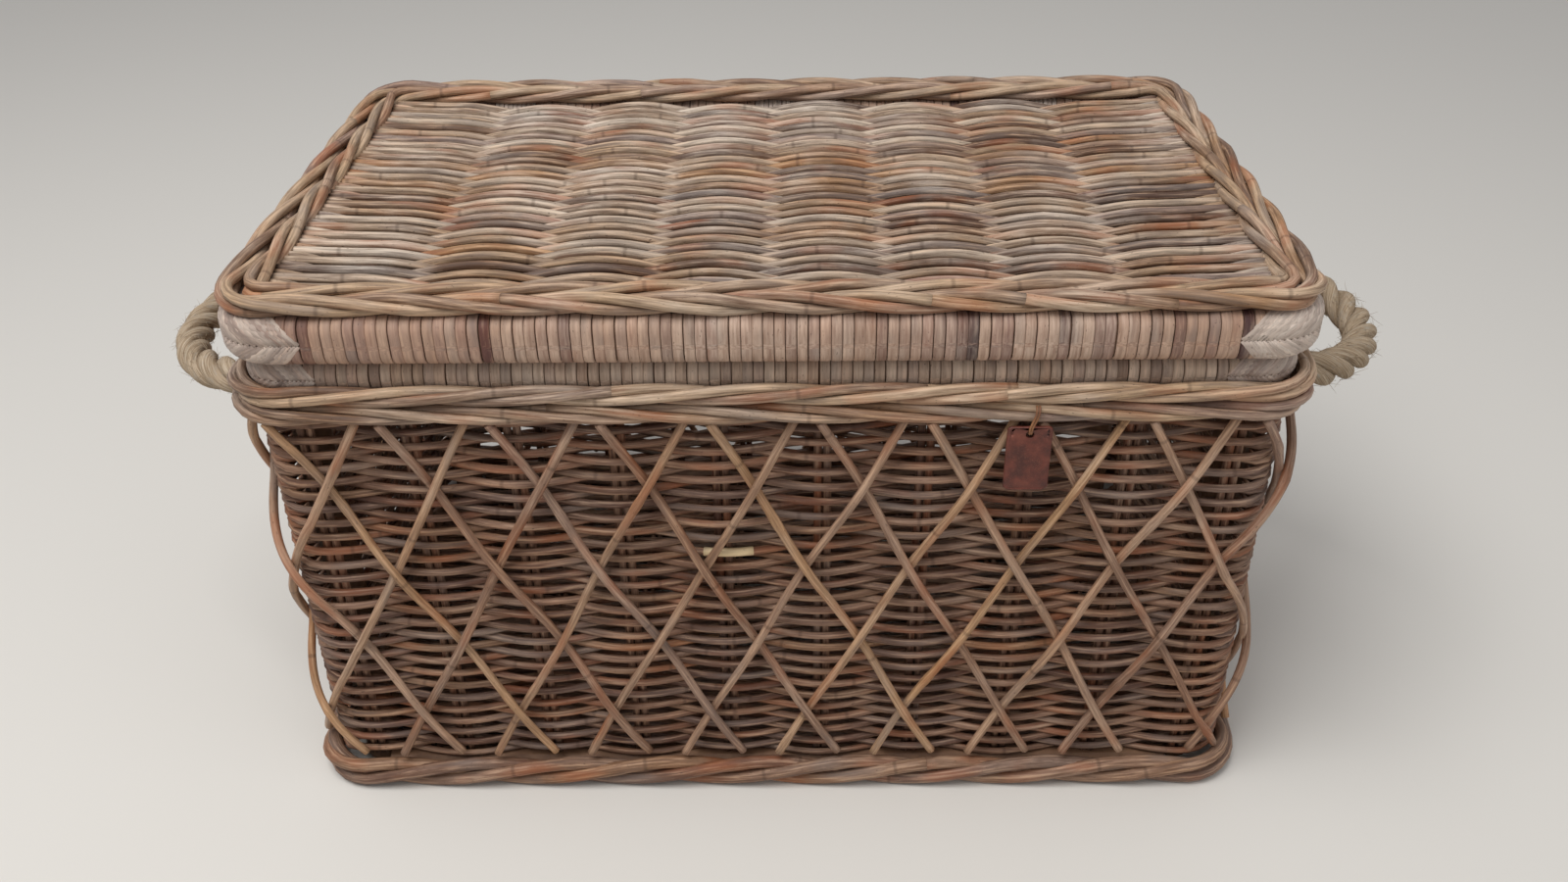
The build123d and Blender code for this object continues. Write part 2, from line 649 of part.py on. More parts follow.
def bend_radius(route, stand_off):
    """Bend that carries a rod round a corner just clear of the wall."""
    arms = [route[1] - route[0], route[2] - route[1]]
    half_turn = math.radians(arms[0].get_angle(arms[1])) / 2
    tangents = []
    for arm in arms:
        level = math.hypot(arm.X, arm.Y)
        tangents.append((CORNER_RADIUS + stand_off) * arm.length / level)
    return min(tangents) / math.tan(half_turn)


def lattice_starts(way):
    """Tops of the rods that slant one way, each moved aside where it would cross a rope hole."""
    first = LATTICE_START if way > 0 else LATTICE_START + LATTICE_SPREAD
    rope_low = handle_height - rope_hole_height / 2 - lattice_outer * math.tan(lowest_tilt)
    drift = lattice_slope * (lattice_top - rope_low) / (lattice_top - lattice_bottom)
    room = ROPE_RADIUS + 2 * LATTICE_RADIUS
    holes = [side * perimeter + place for side in (0.25, 0.75) for place in rope_places]
    starts = []
    for pair in range(LATTICE_PAIRS):
        start = (pair + first) * perimeter / LATTICE_PAIRS
        for hole in holes:
            beside = (start - hole + perimeter / 2) % perimeter - perimeter / 2
            if -room - drift < way * beside < room:
                start -= beside + way * (room + drift)
        starts.append(start)
    return starts


def lattice_layer(name, way, stand_off):
    """All rods that slant one way."""
    with BuildPart() as rods:
        for start in lattice_starts(way):
            route = rod_route(start, way, stand_off)
            with BuildLine() as path:
                if len(route) == 2:
                    Line(*route)
                else:
                    FilletPolyline(*route, radius=bend_radius(route, stand_off))
            slant = path.line % 0
            level = Vector(slant.Y, -slant.X, 0)
            # A flat of the rod's section lies against the wall
            with BuildSketch(Plane(origin=path.line @ 0, x_dir=slant.cross(level), z_dir=slant)):
                RegularPolygon(LATTICE_RADIUS, LATTICE_SIDES)
            sweep(path=path.wires()[0], clean=False)
    rods.part.label = name
    export_step(rods.part, f"parts/{name}.step")


rod_half = LATTICE_RADIUS * math.cos(math.pi / LATTICE_SIDES)
lattice_inner = rod_half + LATTICE_GAP
lattice_outer = lattice_inner + 2 * rod_half + LATTICE_GAP
lattice_layer("lattice_inner_rods", 1, lattice_inner)
lattice_layer("lattice_outer_rods", -1, lattice_outer)


# Rope handles: a loop through two holes in each side wall, with a stopper knot on each end
def handle_radii():
    """Bend at each inner point of the route, as large as its two runs allow."""
    points = [Vector(*point) for point in HANDLE_ROUTE]
    radii = []
    for before, point, after in zip(points, points[1:], points[2:]):
        runs = (point - before, after - point)
        half_turn = math.radians(runs[0].get_angle(runs[1])) / 2
        shorter = min(run.length for run in runs)
        radii.append(HANDLE_BEND_SHARE * shorter / math.tan(half_turn))
    return radii


def rope_handle(name, sign):
    """The loop and its two knots, on the side that sign points to."""
    tilt = math.radians(HANDLE_TILT)
    outward = Vector(sign * math.cos(tilt), 0, -math.sin(tilt))
    loop = Plane(
        origin=(sign * (half_length - wall_middle), 0, handle_height),
        x_dir=outward,
        z_dir=outward.cross(Vector(0, 1, 0)),
    )
    with BuildPart() as rope:
        with BuildLine(loop) as path:
            FilletPolyline(*HANDLE_ROUTE, radius=handle_radii())
        with BuildSketch(Plane(origin=path.line @ 0, z_dir=path.line % 0)):
            RegularPolygon(ROPE_RADIUS, ROPE_SIDES)
        sweep(path=path.wires()[0])
    rope.part.label = f"{name}_rope_handle"
    export_step(rope.part, f"parts/{name}_rope_handle.step")
    length = path.wires()[0].length
    section = math.pi * ROPE_RADIUS**2
    print(name, "rope length", round(length, 1), "volume share", round(rope.part.volume / (section * length), 4))

    with BuildPart() as knots:
        for end in (HANDLE_ROUTE[0], HANDLE_ROUTE[-1]):
            face = loop.from_local_coords(Vector(end[0], end[1], 0))
            shoulder = (KNOT_LENGTH - KNOT_BELLY) / 2
            for depth, radius in (
                (0, KNOT_NECK),
                (shoulder, KNOT_RADIUS),
                (shoulder + KNOT_BELLY, KNOT_RADIUS),
                (KNOT_LENGTH, KNOT_NECK),
            ):
                with BuildSketch(Plane(origin=face, z_dir=-outward).offset(depth)):
                    round_pole(radius)
            loft(ruled=True)
    knots.part.label = f"{name}_handle_knots"
    export_step(knots.part, f"parts/{name}_handle_knots.step")


print("rope bend radii", [round(radius, 1) for radius in handle_radii()])
rope_handle("left", -1)
rope_handle("right", 1)

# Leather tag that hangs from a lace tucked between the two wale rows
tag_back = half_depth + lattice_outer + LATTICE_RADIUS + CLEARANCE
tag_front = tag_back + TAG_THICKNESS
tag_top = wale_low - WALE_RADIUS - CLEARANCE
tag_hole = tag_top - TAG_HOLE_INSET
with BuildPart() as leather_tag:
    with BuildSketch(
        Plane(origin=(TAG_PLACE, -tag_back, tag_top - TAG_LENGTH / 2), x_dir=ALONG_X, z_dir=(0, -1, 0))
    ):
        RectangleRounded(TAG_WIDTH, TAG_LENGTH, TAG_EDGE)
    extrude(amount=TAG_THICKNESS)
    with BuildSketch(Plane(origin=(TAG_PLACE, -tag_back, tag_hole), z_dir=(0, -1, 0))):
        Circle(TAG_HOLE_RADIUS)
    extrude(amount=TAG_THICKNESS, mode=Mode.SUBTRACT)
leather_tag.part.label = "leather_tag"
export_step(leather_tag.part, "parts/leather_tag.step")

tuck_height = (wale_high + wale_low) / 2
tuck_reach = WALE_RADIUS + LACE_RADIUS + CLEARANCE
tuck_out = math.sqrt(tuck_reach**2 - (WALE_SPACING / 2) ** 2)
tuck_y = half_depth + wale_stand_off + tuck_out
lace_out = tag_front + LACE_RADIUS + CLEARANCE
lace_bend = 2 * LACE_RADIUS
with BuildPart() as tag_lace:
    with BuildLine(Plane(origin=(TAG_PLACE, 0, 0), x_dir=(0, -1, 0), z_dir=(-1, 0, 0))) as lace_path:
        FilletPolyline(
            (tuck_y, tuck_height),
            (lace_out, tuck_height),
            (lace_out, tag_hole),
            (tag_back, tag_hole),
            radius=lace_bend,
        )
    with BuildSketch(Plane(origin=lace_path.line @ 0, z_dir=lace_path.line % 0)):
        RegularPolygon(LACE_RADIUS, LATTICE_SIDES)
    sweep(path=lace_path.wires()[0])
tag_lace.part.label = "tag_lace"
export_step(tag_lace.part, "parts/tag_lace.step")

print("hinge line", round(hinge_y, 3), round(hinge_z, 3))
print("lace tuck", round(-tuck_y, 3), round(tuck_height, 3))
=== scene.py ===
"""Looks of a lidded laundry hamper: weathered rattan rods, cane wrapping, hemp rope and leather.

Shapes are worked out in millimetres and turned into metres when a mesh is made.
"""

from collections import namedtuple
import math

import bpy
import numpy as np
from mathutils import Matrix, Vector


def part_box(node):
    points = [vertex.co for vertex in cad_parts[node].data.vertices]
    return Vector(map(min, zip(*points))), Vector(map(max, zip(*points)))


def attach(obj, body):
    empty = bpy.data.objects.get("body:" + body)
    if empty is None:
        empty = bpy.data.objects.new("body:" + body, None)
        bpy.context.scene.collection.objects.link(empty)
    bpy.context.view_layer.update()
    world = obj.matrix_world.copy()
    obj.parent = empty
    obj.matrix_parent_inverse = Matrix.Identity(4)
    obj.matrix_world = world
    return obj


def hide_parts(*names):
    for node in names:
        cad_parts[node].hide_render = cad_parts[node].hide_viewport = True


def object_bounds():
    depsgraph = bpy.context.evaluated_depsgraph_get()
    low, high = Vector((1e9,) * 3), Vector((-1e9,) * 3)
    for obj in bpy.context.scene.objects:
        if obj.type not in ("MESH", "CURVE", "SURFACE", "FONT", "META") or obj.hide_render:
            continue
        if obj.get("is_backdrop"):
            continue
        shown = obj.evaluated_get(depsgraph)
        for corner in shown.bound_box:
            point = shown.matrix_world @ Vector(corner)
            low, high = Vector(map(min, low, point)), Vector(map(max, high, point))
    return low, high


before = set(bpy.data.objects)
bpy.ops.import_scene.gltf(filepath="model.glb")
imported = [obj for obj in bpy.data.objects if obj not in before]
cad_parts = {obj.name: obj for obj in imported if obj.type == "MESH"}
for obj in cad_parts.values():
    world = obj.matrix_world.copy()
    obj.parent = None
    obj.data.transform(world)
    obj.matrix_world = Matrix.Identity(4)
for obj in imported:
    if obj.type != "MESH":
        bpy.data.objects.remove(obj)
cad_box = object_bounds()

MM = 0.001
UP = np.array([0.0, 0.0, 1.0])
RIGHT = np.array([1.0, 0.0, 0.0])
BACK = np.array([0.0, 1.0, 0.0])
rng = np.random.default_rng(20)

# Rods, in millimetres
WALL_ROWS = 55
WALL_ROD = 2.68
WALL_BEND = 5.6  # how far a row bows out and in at the stakes
CORNER_BEND = 5.2  # all rows pass outside the corner posts
STAKE_ROD = 2.9
STAKE_HALF_GAP = 3.1  # stakes are pairs of rods
LID_ROD = 3.2
LID_BEND = 4.9
LID_TUCK = (7.0, 6.5)  # the lid's rows run on this far under the side borders, and rise this far
BASE_BEND = 3.6
BASE_RIB_ROD = 2.2
LID_ROW_PITCH = 6.55
RIB_ROD = 2.6
LATTICE_ROD = 3.2
LATTICE_PAIRS = 30
LATTICE_SHIFT = 2.2  # pairs that a rod passes on its way down
LATTICE_START = 0.45  # share of a pair from the middle of the front to the first rod
LATTICE_SPREAD = 0.78  # share of a pair at the top between two rods that cross first
LATTICE_UNDER = 2.9  # stand-off from the wall where a rod goes under
LATTICE_OVER = 8.9
ROPE_LAY = 78.0  # length of one turn of a strand
TWIST_RODS = 3
NODE_SPACING = 190.0  # from one node of a rod to the next
ROW_STEP = 6.5  # from one point of a row's path to the next

# Lengths of weaving rods, counted in stakes
SHORTEST_WEAVER = 5
LONGEST_WEAVER = 13

# Random ranges
PHASE = 6.3  # about a full turn
GRAIN_START = 900.0  # strands start at different places in the grain

# A strand's strip of the map, and the disc for each of its ends
MAP_MARGIN = 0.04
MAP_DISC = 0.3


def corners_of(node):
    """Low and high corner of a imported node's box, in millimetres."""
    low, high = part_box(node)
    return np.array(low) / MM, np.array(high) / MM


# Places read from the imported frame
front_low, front_high = corners_of("woven_front")
side_low, side_high = corners_of("woven_right")
foot_low, foot_high = corners_of("foot_border_front")
half_length = side_high[0]
half_depth = -front_low[1]
wall_bottom = front_low[2]
wall_top = front_high[2]
wall_thickness = side_high[0] - side_low[0]
corner_x = foot_high[0]
corner_radius = half_length - corner_x
corner_y = half_depth - corner_radius
foot_height = foot_high[2]
rim_low, rim_high = corners_of("rim_front_wrap")
rim_height = (rim_low[2] + rim_high[2]) / 2
rim_radius = (rim_high[2] - rim_low[2]) / 2
rail_low, rail_high = corners_of("lid_front_wrap")
lid_low, lid_high = corners_of("lid_front_corners")
rail_size = rail_high[2] - rail_low[2]
rail_height = (rail_high[2] + rail_low[2]) / 2
lid_half_x = lid_high[0]
lid_half_y = -lid_low[1]
lid_corner_x = rail_high[0]
lid_corner_radius = lid_half_x - lid_corner_x
lid_corner_y = lid_half_y - lid_corner_radius
weave_low, weave_high = corners_of("lid_weave")
base_low, base_high = corners_of("base_weave")


# Meshes
def unit(vectors):
    """The same directions with a length of one."""
    return vectors / np.linalg.norm(vectors, axis=-1, keepdims=True)


def reach_along(path):
    """Distance along a path from its start to each of its points."""
    return np.concatenate([[0.0], np.cumsum(np.linalg.norm(np.diff(path, axis=0), axis=1))])


def add(name, data):
    """A new object in the scene."""
    made = bpy.data.objects.new(name, data)
    bpy.context.scene.collection.objects.link(made)
    return made


def tube_faces(runs, rings, sides):
    """Ring and side at which each face of a tube starts, and the face's four corners."""
    i, j = (grid.ravel() for grid in np.meshgrid(np.arange(runs), np.arange(sides), indexing="ij"))
    after, beside = (i + 1) % rings * sides, (j + 1) % sides
    return i, j, np.stack([i * sides + j, after + j, after + beside, i * sides + beside], axis=1)


class Strands:
    """Rods and strips gathered into one mesh, each point with its grain and each strand with its tint."""

    def __init__(self):
        self.points = []
        self.faces = []
        self.grain = []
        self.tint = []
        self.spots = []
        self.total = 0
        self.strands = 0

    def strip(self, path, shape, tint, closed=False, up=UP):
        """Sweeps an outline of (across, outward) points along a path; up says which way is outward."""
        path = np.asarray(path, float)
        count = len(path)
        shape = np.asarray(shape, float)
        if shape.ndim == 2:
            shape = np.broadcast_to(shape, (count,) + shape.shape)
        sides = shape.shape[1]
        if closed:
            tangent = np.roll(path, -1, axis=0) - np.roll(path, 1, axis=0)
        else:
            tangent = np.gradient(path, axis=0)
        tangent = unit(tangent)
        across = unit(np.cross(tangent, np.broadcast_to(up, path.shape)))
        outward = np.cross(across, tangent)
        points = (
            path[:, None, :]
            + shape[:, :, :1] * across[:, None, :]
            + shape[:, :, 1:] * outward[:, None, :]
        )
        reach = reach_along(np.vstack([path, path[:1]]))
        along = reach[:-1]
        start = rng.uniform(0, GRAIN_START)
        grain = np.concatenate(
            [np.broadcast_to((along + start)[:, None, None], shape.shape[:2] + (1,)), shape], axis=2
        )
        i, j, quads = tube_faces(count if closed else count - 1, count, sides)
        self.faces += (quads + self.total).tolist()
        u = np.stack([reach[i], reach[i + 1], reach[i + 1], reach[i]], axis=1)
        v = np.stack([j, j, j + 1, j + 1], axis=1) / sides
        v = self.strands + MAP_MARGIN + (1 - 2 * MAP_MARGIN) * v
        self.spots.append(np.stack([u, v], axis=2).reshape(-1, 2))
        if not closed:
            ring = np.arange(sides)
            last = (count - 1) * sides
            self.faces.append((ring + self.total).tolist())
            self.faces.append((ring[::-1] + last + self.total).tolist())
            turn = 2 * math.pi * ring / sides
            disc = MAP_DISC * np.stack([1 + np.cos(turn), np.sin(turn)], axis=1)
            disc[:, 1] += self.strands + 0.5
            self.spots += [disc, disc[::-1]]
        self.points.append(points.reshape(-1, 3))
        self.grain.append(grain.reshape(-1, 3))
        self.tint.append(np.full(count * sides, tint))
        self.total += count * sides
        self.strands += 1

    def rod(self, path, radius, tint, sides=7, up=UP):
        """A round rod; the radius may change along it."""
        turn = 2 * math.pi * np.arange(sides) / sides
        ring = np.stack([np.cos(turn), np.sin(turn)], axis=1)
        radius = np.broadcast_to(radius, len(path))
        self.strip(path, radius[:, None, None] * ring, tint, up=up)

    def mesh(self, name):
        """One mesh in metres with the strands' grain, tint and a strip each of the map."""
        made = bpy.data.meshes.new(name)
        made.from_pydata((np.concatenate(self.points) * MM).tolist(), [], self.faces)
        made.polygons.foreach_set("use_smooth", np.ones(len(self.faces), bool))
        grain = made.attributes.new("grain", "FLOAT_VECTOR", "POINT")
        grain.data.foreach_set("vector", (np.concatenate(self.grain) * MM).ravel())
        tint = made.attributes.new("tint", "FLOAT", "POINT")
        tint.data.foreach_set("value", np.concatenate(self.tint))
        spots = np.concatenate(self.spots)
        spots = spots / np.array([spots[:, 0].max(), self.strands])
        layer = made.uv_layers.new(name="OFBake")
        layer.data.foreach_set("uv", spots.ravel())
        made.update()
        return made


def place(name, strands, material, body, nodes):
    """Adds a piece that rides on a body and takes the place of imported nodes."""
    made = add(name, strands.mesh(name))
    made.data.materials.append(material)
    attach(made, body)
    for node in nodes:
        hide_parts(node)
    return made


def knobbly(along, radius, rise=0.16, width=5.0):
    """Radius of a rattan rod, a little thicker at its nodes."""
    start = rng.uniform(0, NODE_SPACING)
    off = (along + start) % NODE_SPACING - NODE_SPACING / 2
    return radius * (1 + rise * np.exp(-((off / width) ** 2)))


class Loop:
    """A rounded rectangle round the hamper, measured from the middle of the front towards the right."""

    def __init__(self, half_x, half_y, radius):
        self.straight_x = half_x - radius
        self.straight_y = half_y - radius
        self.radius = radius
        self.arc = math.pi / 2 * radius
        self.length = 4 * (self.straight_x + self.straight_y + self.arc)

    def at(self, distance):
        """Points in the plane and the outward directions there."""
        rest = (np.asarray(distance, float) + self.straight_x) % self.length
        points = np.zeros(rest.shape + (2,))
        outward = np.zeros(rest.shape + (2,))
        here = 0.0
        signs = ((1, -1), (1, 1), (-1, 1), (-1, -1))
        for side in range(4):
            heading = math.pi / 2 * side
            run = 2 * (self.straight_x, self.straight_y)[side % 2]
            before, corner = signs[side - 1], signs[side]
            start = np.array([before[0] * self.straight_x, before[1] * self.straight_y])
            ahead = np.array([math.cos(heading), math.sin(heading)])
            out = np.array([math.sin(heading), -math.cos(heading)])
            flat = (rest >= here) & (rest <= here + run)
            points[flat] = start + out * self.radius + (rest[flat] - here)[:, None] * ahead
            outward[flat] = out
            here += run
            bend = (rest > here) & (rest < here + self.arc)
            angle = heading - math.pi / 2 + (rest[bend] - here) / self.radius
            turn = np.stack([np.cos(angle), np.sin(angle)], axis=1)
            points[bend] = np.array([corner[0] * self.straight_x, corner[1] * self.straight_y])
            points[bend] += self.radius * turn
            outward[bend] = turn
            here += self.arc
        return points, outward

    def path(self, distance, stand_off, height):
        """Points in space, off the loop by the stand-off."""
        points, outward = self.at(distance)
        flat = points + outward * np.broadcast_to(stand_off, len(points))[:, None]
        return np.column_stack([flat, np.broadcast_to(height, len(points))]), outward


# Materials
def shade(code):
    """A screen colour such as 8a6a4d as linear RGBA."""
    parts = [int(code[i : i + 2], 16) / 255 for i in (0, 2, 4)]
    linear = [part / 12.92 if part <= 0.04045 else ((part + 0.055) / 1.055) ** 2.4 for part in parts]
    return (*linear, 1.0)


class Look:
    """A node material, built up in small steps."""

    def __init__(self, name):
        self.material = bpy.data.materials.new(name)
        self.material.use_nodes = True
        self.tree = self.material.node_tree
        self.surface = self.tree.nodes["Principled BSDF"]

    def put(self, socket, value):
        """Links or sets one socket."""
        if isinstance(value, bpy.types.NodeSocket):
            self.tree.links.new(value, socket)
        else:
            socket.default_value = value

    def node(self, kind, inputs, output=0, **settings):
        """Adds a node, fills its inputs and returns one of its outputs."""
        made = self.tree.nodes.new(kind)
        for setting, value in settings.items():
            setattr(made, setting, value)
        for key, value in inputs.items():
            self.put(made.inputs[key], value)
        return made.outputs[output]

    def attribute(self, name, output):
        """A value that the mesh carries on its points."""
        return self.node("ShaderNodeAttribute", {}, output, attribute_name=name)

    def math(self, operation, first, second=0.0):
        """One operation on two values."""
        return self.node("ShaderNodeMath", {0: first, 1: second}, operation=operation)

    def mix(self, factor, first, second):
        """Blends two colours."""
        return self.node("ShaderNodeMix", {0: factor, 6: first, 7: second}, 2, data_type="RGBA")

    def ramp(self, factor, codes, spots=None):
        """Colours spread over the range from nought to one."""
        colours = [shade(code) for code in codes.split()]
        made = self.tree.nodes.new("ShaderNodeValToRGB")
        stops = made.color_ramp.elements
        while len(stops) < len(colours):
            stops.new(1.0)
        if spots is None:
            spots = [i / (len(colours) - 1) for i in range(len(colours))]
        for stop, spot, colour in zip(stops, spots, colours):
            stop.position = spot
            stop.color = colour
        self.put(made.inputs[0], factor)
        return made.outputs[0]

    def fade(self, factor, none, full):
        """Nought up to the first limit and one from the second on."""
        return self.node("ShaderNodeMapRange", {0: factor, 1: none, 2: full})

    def noise(self, vector, scale, detail, roughness):
        """Fractal noise at a place; the scale is one number, or one for each axis."""
        if isinstance(scale, tuple):
            vector = self.node("ShaderNodeVectorMath", {0: vector, 1: scale}, operation="MULTIPLY")
            scale = 1.0
        inputs = {"Vector": vector, "Scale": scale, "Detail": detail, "Roughness": roughness}
        return self.node("ShaderNodeTexNoise", inputs)

    def bump(self, height, strength, distance):
        """A bumped normal."""
        return self.node("ShaderNodeBump", {"Height": height, "Strength": strength, "Distance": distance})

    def stain(self, colour, mask, share, code):
        """Lays a share of another colour over a colour where the mask is strong."""
        return self.mix(self.math("MULTIPLY", mask, share), colour, shade(code))

    def finish(self, inputs):
        """Fills the surface's inputs and returns the material."""
        for name, value in inputs.items():
            self.put(self.surface.inputs[name], value)
        return self.material


# Where each mark on cane starts and is full, in its noise; the share that it covers; and its colour
DARK_STREAKS = (0.60, 0.36)
DARK_STREAK = "3b2219"
PALE_STREAKS = (0.52, 0.74)
PALE_STREAK = "dcb592"
RUST_PATCHES = (0.53, 0.70)
ROD_RUST = 0.45
STRIP_RUST = 0.12
RUST = "a4592c"
GREY_PATCHES = (0.45, 0.28)
GREY_SHARE = 0.5
GREY = "7d7068"
BLOOM_PATCHES = (0.42, 0.68)
BLOOM_STREAKS = (0.34, 0.62)
SPECKS = (0.70, 0.78)
SPECK_SHARE = 0.6
SPECK = "2a1a12"
NODE_RING = (0.010, 0.003)  # shares of the way from node to node
NODE_RING_SHARE = 0.38
NODE_RING_COLOUR = "3a2417"
PATCH_GRAIN = (16.0, 50.0, 50.0)
SPECK_GRAIN = (380.0, 900.0, 900.0)


def strand_look(name, tints, bloom, bloom_share, streak_share, gloss, grain_scale, whole):
    """Cane with a tint for each strand, streaks and a pale bloom; whole rods have nodes and more rust."""
    look = Look(name)
    tint = look.attribute("tint", 2)
    grain = look.attribute("grain", 1)
    colour = look.ramp(tint, tints)
    shift = look.node("ShaderNodeCombineXYZ", {0: look.math("MULTIPLY", tint, 7.0), 1: tint, 2: tint})
    spot = look.node("ShaderNodeVectorMath", {0: grain, 1: shift}, operation="ADD")
    streaks = look.noise(spot, grain_scale, 5.0, 0.65)
    pale = look.fade(streaks, *PALE_STREAKS)
    colour = look.stain(colour, look.fade(streaks, *DARK_STREAKS), streak_share, DARK_STREAK)
    colour = look.stain(colour, pale, streak_share, PALE_STREAK)
    patches = look.noise(spot, PATCH_GRAIN, 2.0, 0.5)
    rust_share = ROD_RUST if whole else STRIP_RUST
    colour = look.stain(colour, look.fade(patches, *RUST_PATCHES), rust_share, RUST)
    colour = look.stain(colour, look.fade(patches, *GREY_PATCHES), GREY_SHARE, GREY)
    place_on = look.node("ShaderNodeTexCoord", {}, 3)
    age = look.noise(place_on, 11.0, 4.0, 0.62)
    worn = look.math("MULTIPLY", look.fade(age, *BLOOM_PATCHES), bloom_share)
    colour = look.stain(colour, worn, look.fade(streaks, *BLOOM_STREAKS), bloom)
    specks = look.noise(spot, SPECK_GRAIN, 1.0, 0.5)
    colour = look.stain(colour, look.fade(specks, *SPECKS), SPECK_SHARE, SPECK)
    if whole:
        along = look.node("ShaderNodeSeparateXYZ", {0: grain}, 0)
        turn = look.math("FRACT", look.math("MULTIPLY", along, 1 / (NODE_SPACING * MM)))
        ring = look.fade(look.math("ABSOLUTE", look.math("SUBTRACT", turn, 0.5)), *NODE_RING)
        colour = look.stain(colour, ring, NODE_RING_SHARE, NODE_RING_COLOUR)
    shine = look.math("MULTIPLY", pale, 0.12)
    return look.finish(
        {
            "Base Color": colour,
            "Roughness": look.math("SUBTRACT", 1.0 - gloss, shine),
            "Specular IOR Level": 0.35,
            "Normal": look.bump(streaks, 0.5, 0.0005),
        }
    )


ROD_GRAIN = (30.0, 620.0, 620.0)
CANE_GRAIN = (40.0, 420.0, 900.0)
# Tints of the strands, the bloom's colour and share, the streaks' share, and the gloss
ROD_LOOKS = {
    "wall_rattan": ("5f4032 7c5a46 916c55 a27d66 8b684d 796156 9d734f", "b9a493", 0.3, 0.6, 0.38),
    "lid_rattan": ("5a4335 86684f a08468 b59c84 c6b29c 8a7468 a87f58 75675f", "ddd3c6", 0.55, 0.65, 0.38),
    "lattice_rattan": ("85614a 9b775f ad8a70 b98f66 8f7263", "c9b6a4", 0.35, 0.5, 0.42),
    "border_rattan": ("7a5c47 997a60 b09374 bd9f80 96796a a17a54", "d8c9b8", 0.4, 0.6, 0.42),
}
STRIP_LOOKS = {
    "rail_cane": (
        "331c20 64413a a08070 ab8a77 b5957f bb9c87 a98873 b3947f 7a5a4e", "dccbbb", 0.35, 0.3, 0.4
    ),
    "rim_cane": ("86705f a89080 c0a893 b09680 d0b8a2", "c8b8aa", 0.4, 0.35, 0.35),
    "corner_cane": ("98867b b3a094 c5b3a5 d2c2b4 bca99a", "ddd2c8", 0.4, 0.35, 0.35),
}
STRAW_LOOK = ("dcbd8c e8cea2 f0dcb6", "f2e4c8", 0.2, 0.1, 0.35)
wall_look, lid_look, lattice_look, border_look = (
    strand_look(name, *values, ROD_GRAIN, True) for name, values in ROD_LOOKS.items()
)
wrap_look, rim_look, binding_look = (
    strand_look(name, *values, CANE_GRAIN, False) for name, values in STRIP_LOOKS.items()
)
straw_look = strand_look("pale_straw", *STRAW_LOOK, ROD_GRAIN, False)
POLE_COLOURS = "6a4a35 7c5a41 8d6a4e"
ROPE_COLOURS = "6c5a49 98846c b8a58e d3c5b0"
FIBRE_GRAIN = (60.0, 1500.0, 1500.0)
TUFT_GRAIN = (130.0, 320.0, 320.0)
TUFT = "a69c8e"
DARK_HEMP = "8a765c"


def pole_look():
    """Bare rattan poles with blotched grain."""
    look = Look("bare_pole")
    spot = look.node("ShaderNodeTexCoord", {}, 3)
    grain = look.noise(spot, 60.0, 5.0, 0.65)
    colour = look.ramp(grain, POLE_COLOURS, (0.3, 0.5, 0.72))
    return look.finish({"Base Color": colour, "Roughness": 0.6, "Normal": look.bump(grain, 0.3, 0.0006)})


def rope_look():
    """Coarse hemp: fine fibres that run along each strand, pale on the crowns and dark in the grooves."""
    look = Look("hemp_rope")
    tint = look.attribute("tint", 2)
    grain = look.attribute("grain", 1)
    fibres = look.noise(grain, FIBRE_GRAIN, 4.0, 0.6)
    tufts = look.noise(grain, TUFT_GRAIN, 3.0, 0.6)
    colour = look.ramp(fibres, ROPE_COLOURS, (0.28, 0.45, 0.58, 0.75))
    colour = look.mix(look.fade(tufts, 0.52, 0.75), colour, shade(TUFT))
    colour = look.stain(colour, tint, 0.3, DARK_HEMP)
    normal = look.bump(fibres, 0.8, 0.0008)
    return look.finish(
        {"Base Color": colour, "Roughness": 0.9, "Specular IOR Level": 0.15, "Normal": normal}
    )


PORE = "94604b"
HIDE_COLOURS = "4a2219 652f22 7c4130"
LACE_COLOURS = "6a4027 875a38 a0714a"


def leather_look(name, colours):
    """Blotched leather with pale pores."""
    look = Look(name)
    spot = look.node("ShaderNodeTexCoord", {}, 3)
    blotch = look.noise(spot, 90.0, 4.0, 0.6)
    pores = look.noise(spot, 1400.0, 3.0, 0.6)
    colour = look.ramp(blotch, colours, (0.35, 0.52, 0.7))
    colour = look.stain(colour, look.fade(pores, 0.58, 0.7), 0.35, PORE)
    return look.finish({"Base Color": colour, "Roughness": 0.55, "Normal": look.bump(pores, 0.35, 0.0003)})


# Woven walls
wall_loop = Loop(
    half_length - wall_thickness / 2, half_depth - wall_thickness / 2, corner_radius - wall_thickness / 2
)
outer_loop = Loop(half_length, half_depth, corner_radius)
STAKE_RADIUS = 3.5  # of a packed stake, which stands for a pair of rods
front_stakes_low, front_stakes_high = corners_of("front_stakes")
right_stakes_low, right_stakes_high = corners_of("right_stakes")
long_stakes = np.linspace(front_stakes_low[0] + STAKE_RADIUS, front_stakes_high[0] - STAKE_RADIUS, 10)
short_stakes = np.linspace(right_stakes_low[1] + STAKE_RADIUS, right_stakes_high[1] - STAKE_RADIUS, 5)
HANDLE_DROP = 34.0  # from the top of the walls down to the rope holes
handle_height = wall_top - HANDLE_DROP
ROPE_PLACES = (-105.0, 105.0)  # from the middle of a side wall to its rope holes
ROPE_HOLE_WIDTH = 14.0
ROPE_HOLE_HEIGHT = 19.0
BACK_LIFT = 2.0  # rows of the back rise this far outside a stake and dip as far inside it
STRAW_ENDS = (-49.0, -9.0)  # a pale repair on the front, as places along it
STRAW_HEIGHT = 210.0
STRAW_SWELL = 1.12  # how much thicker it is than the row under it
ROW_SWAY = (1.1, 0.8)  # a row's slow waves up and down
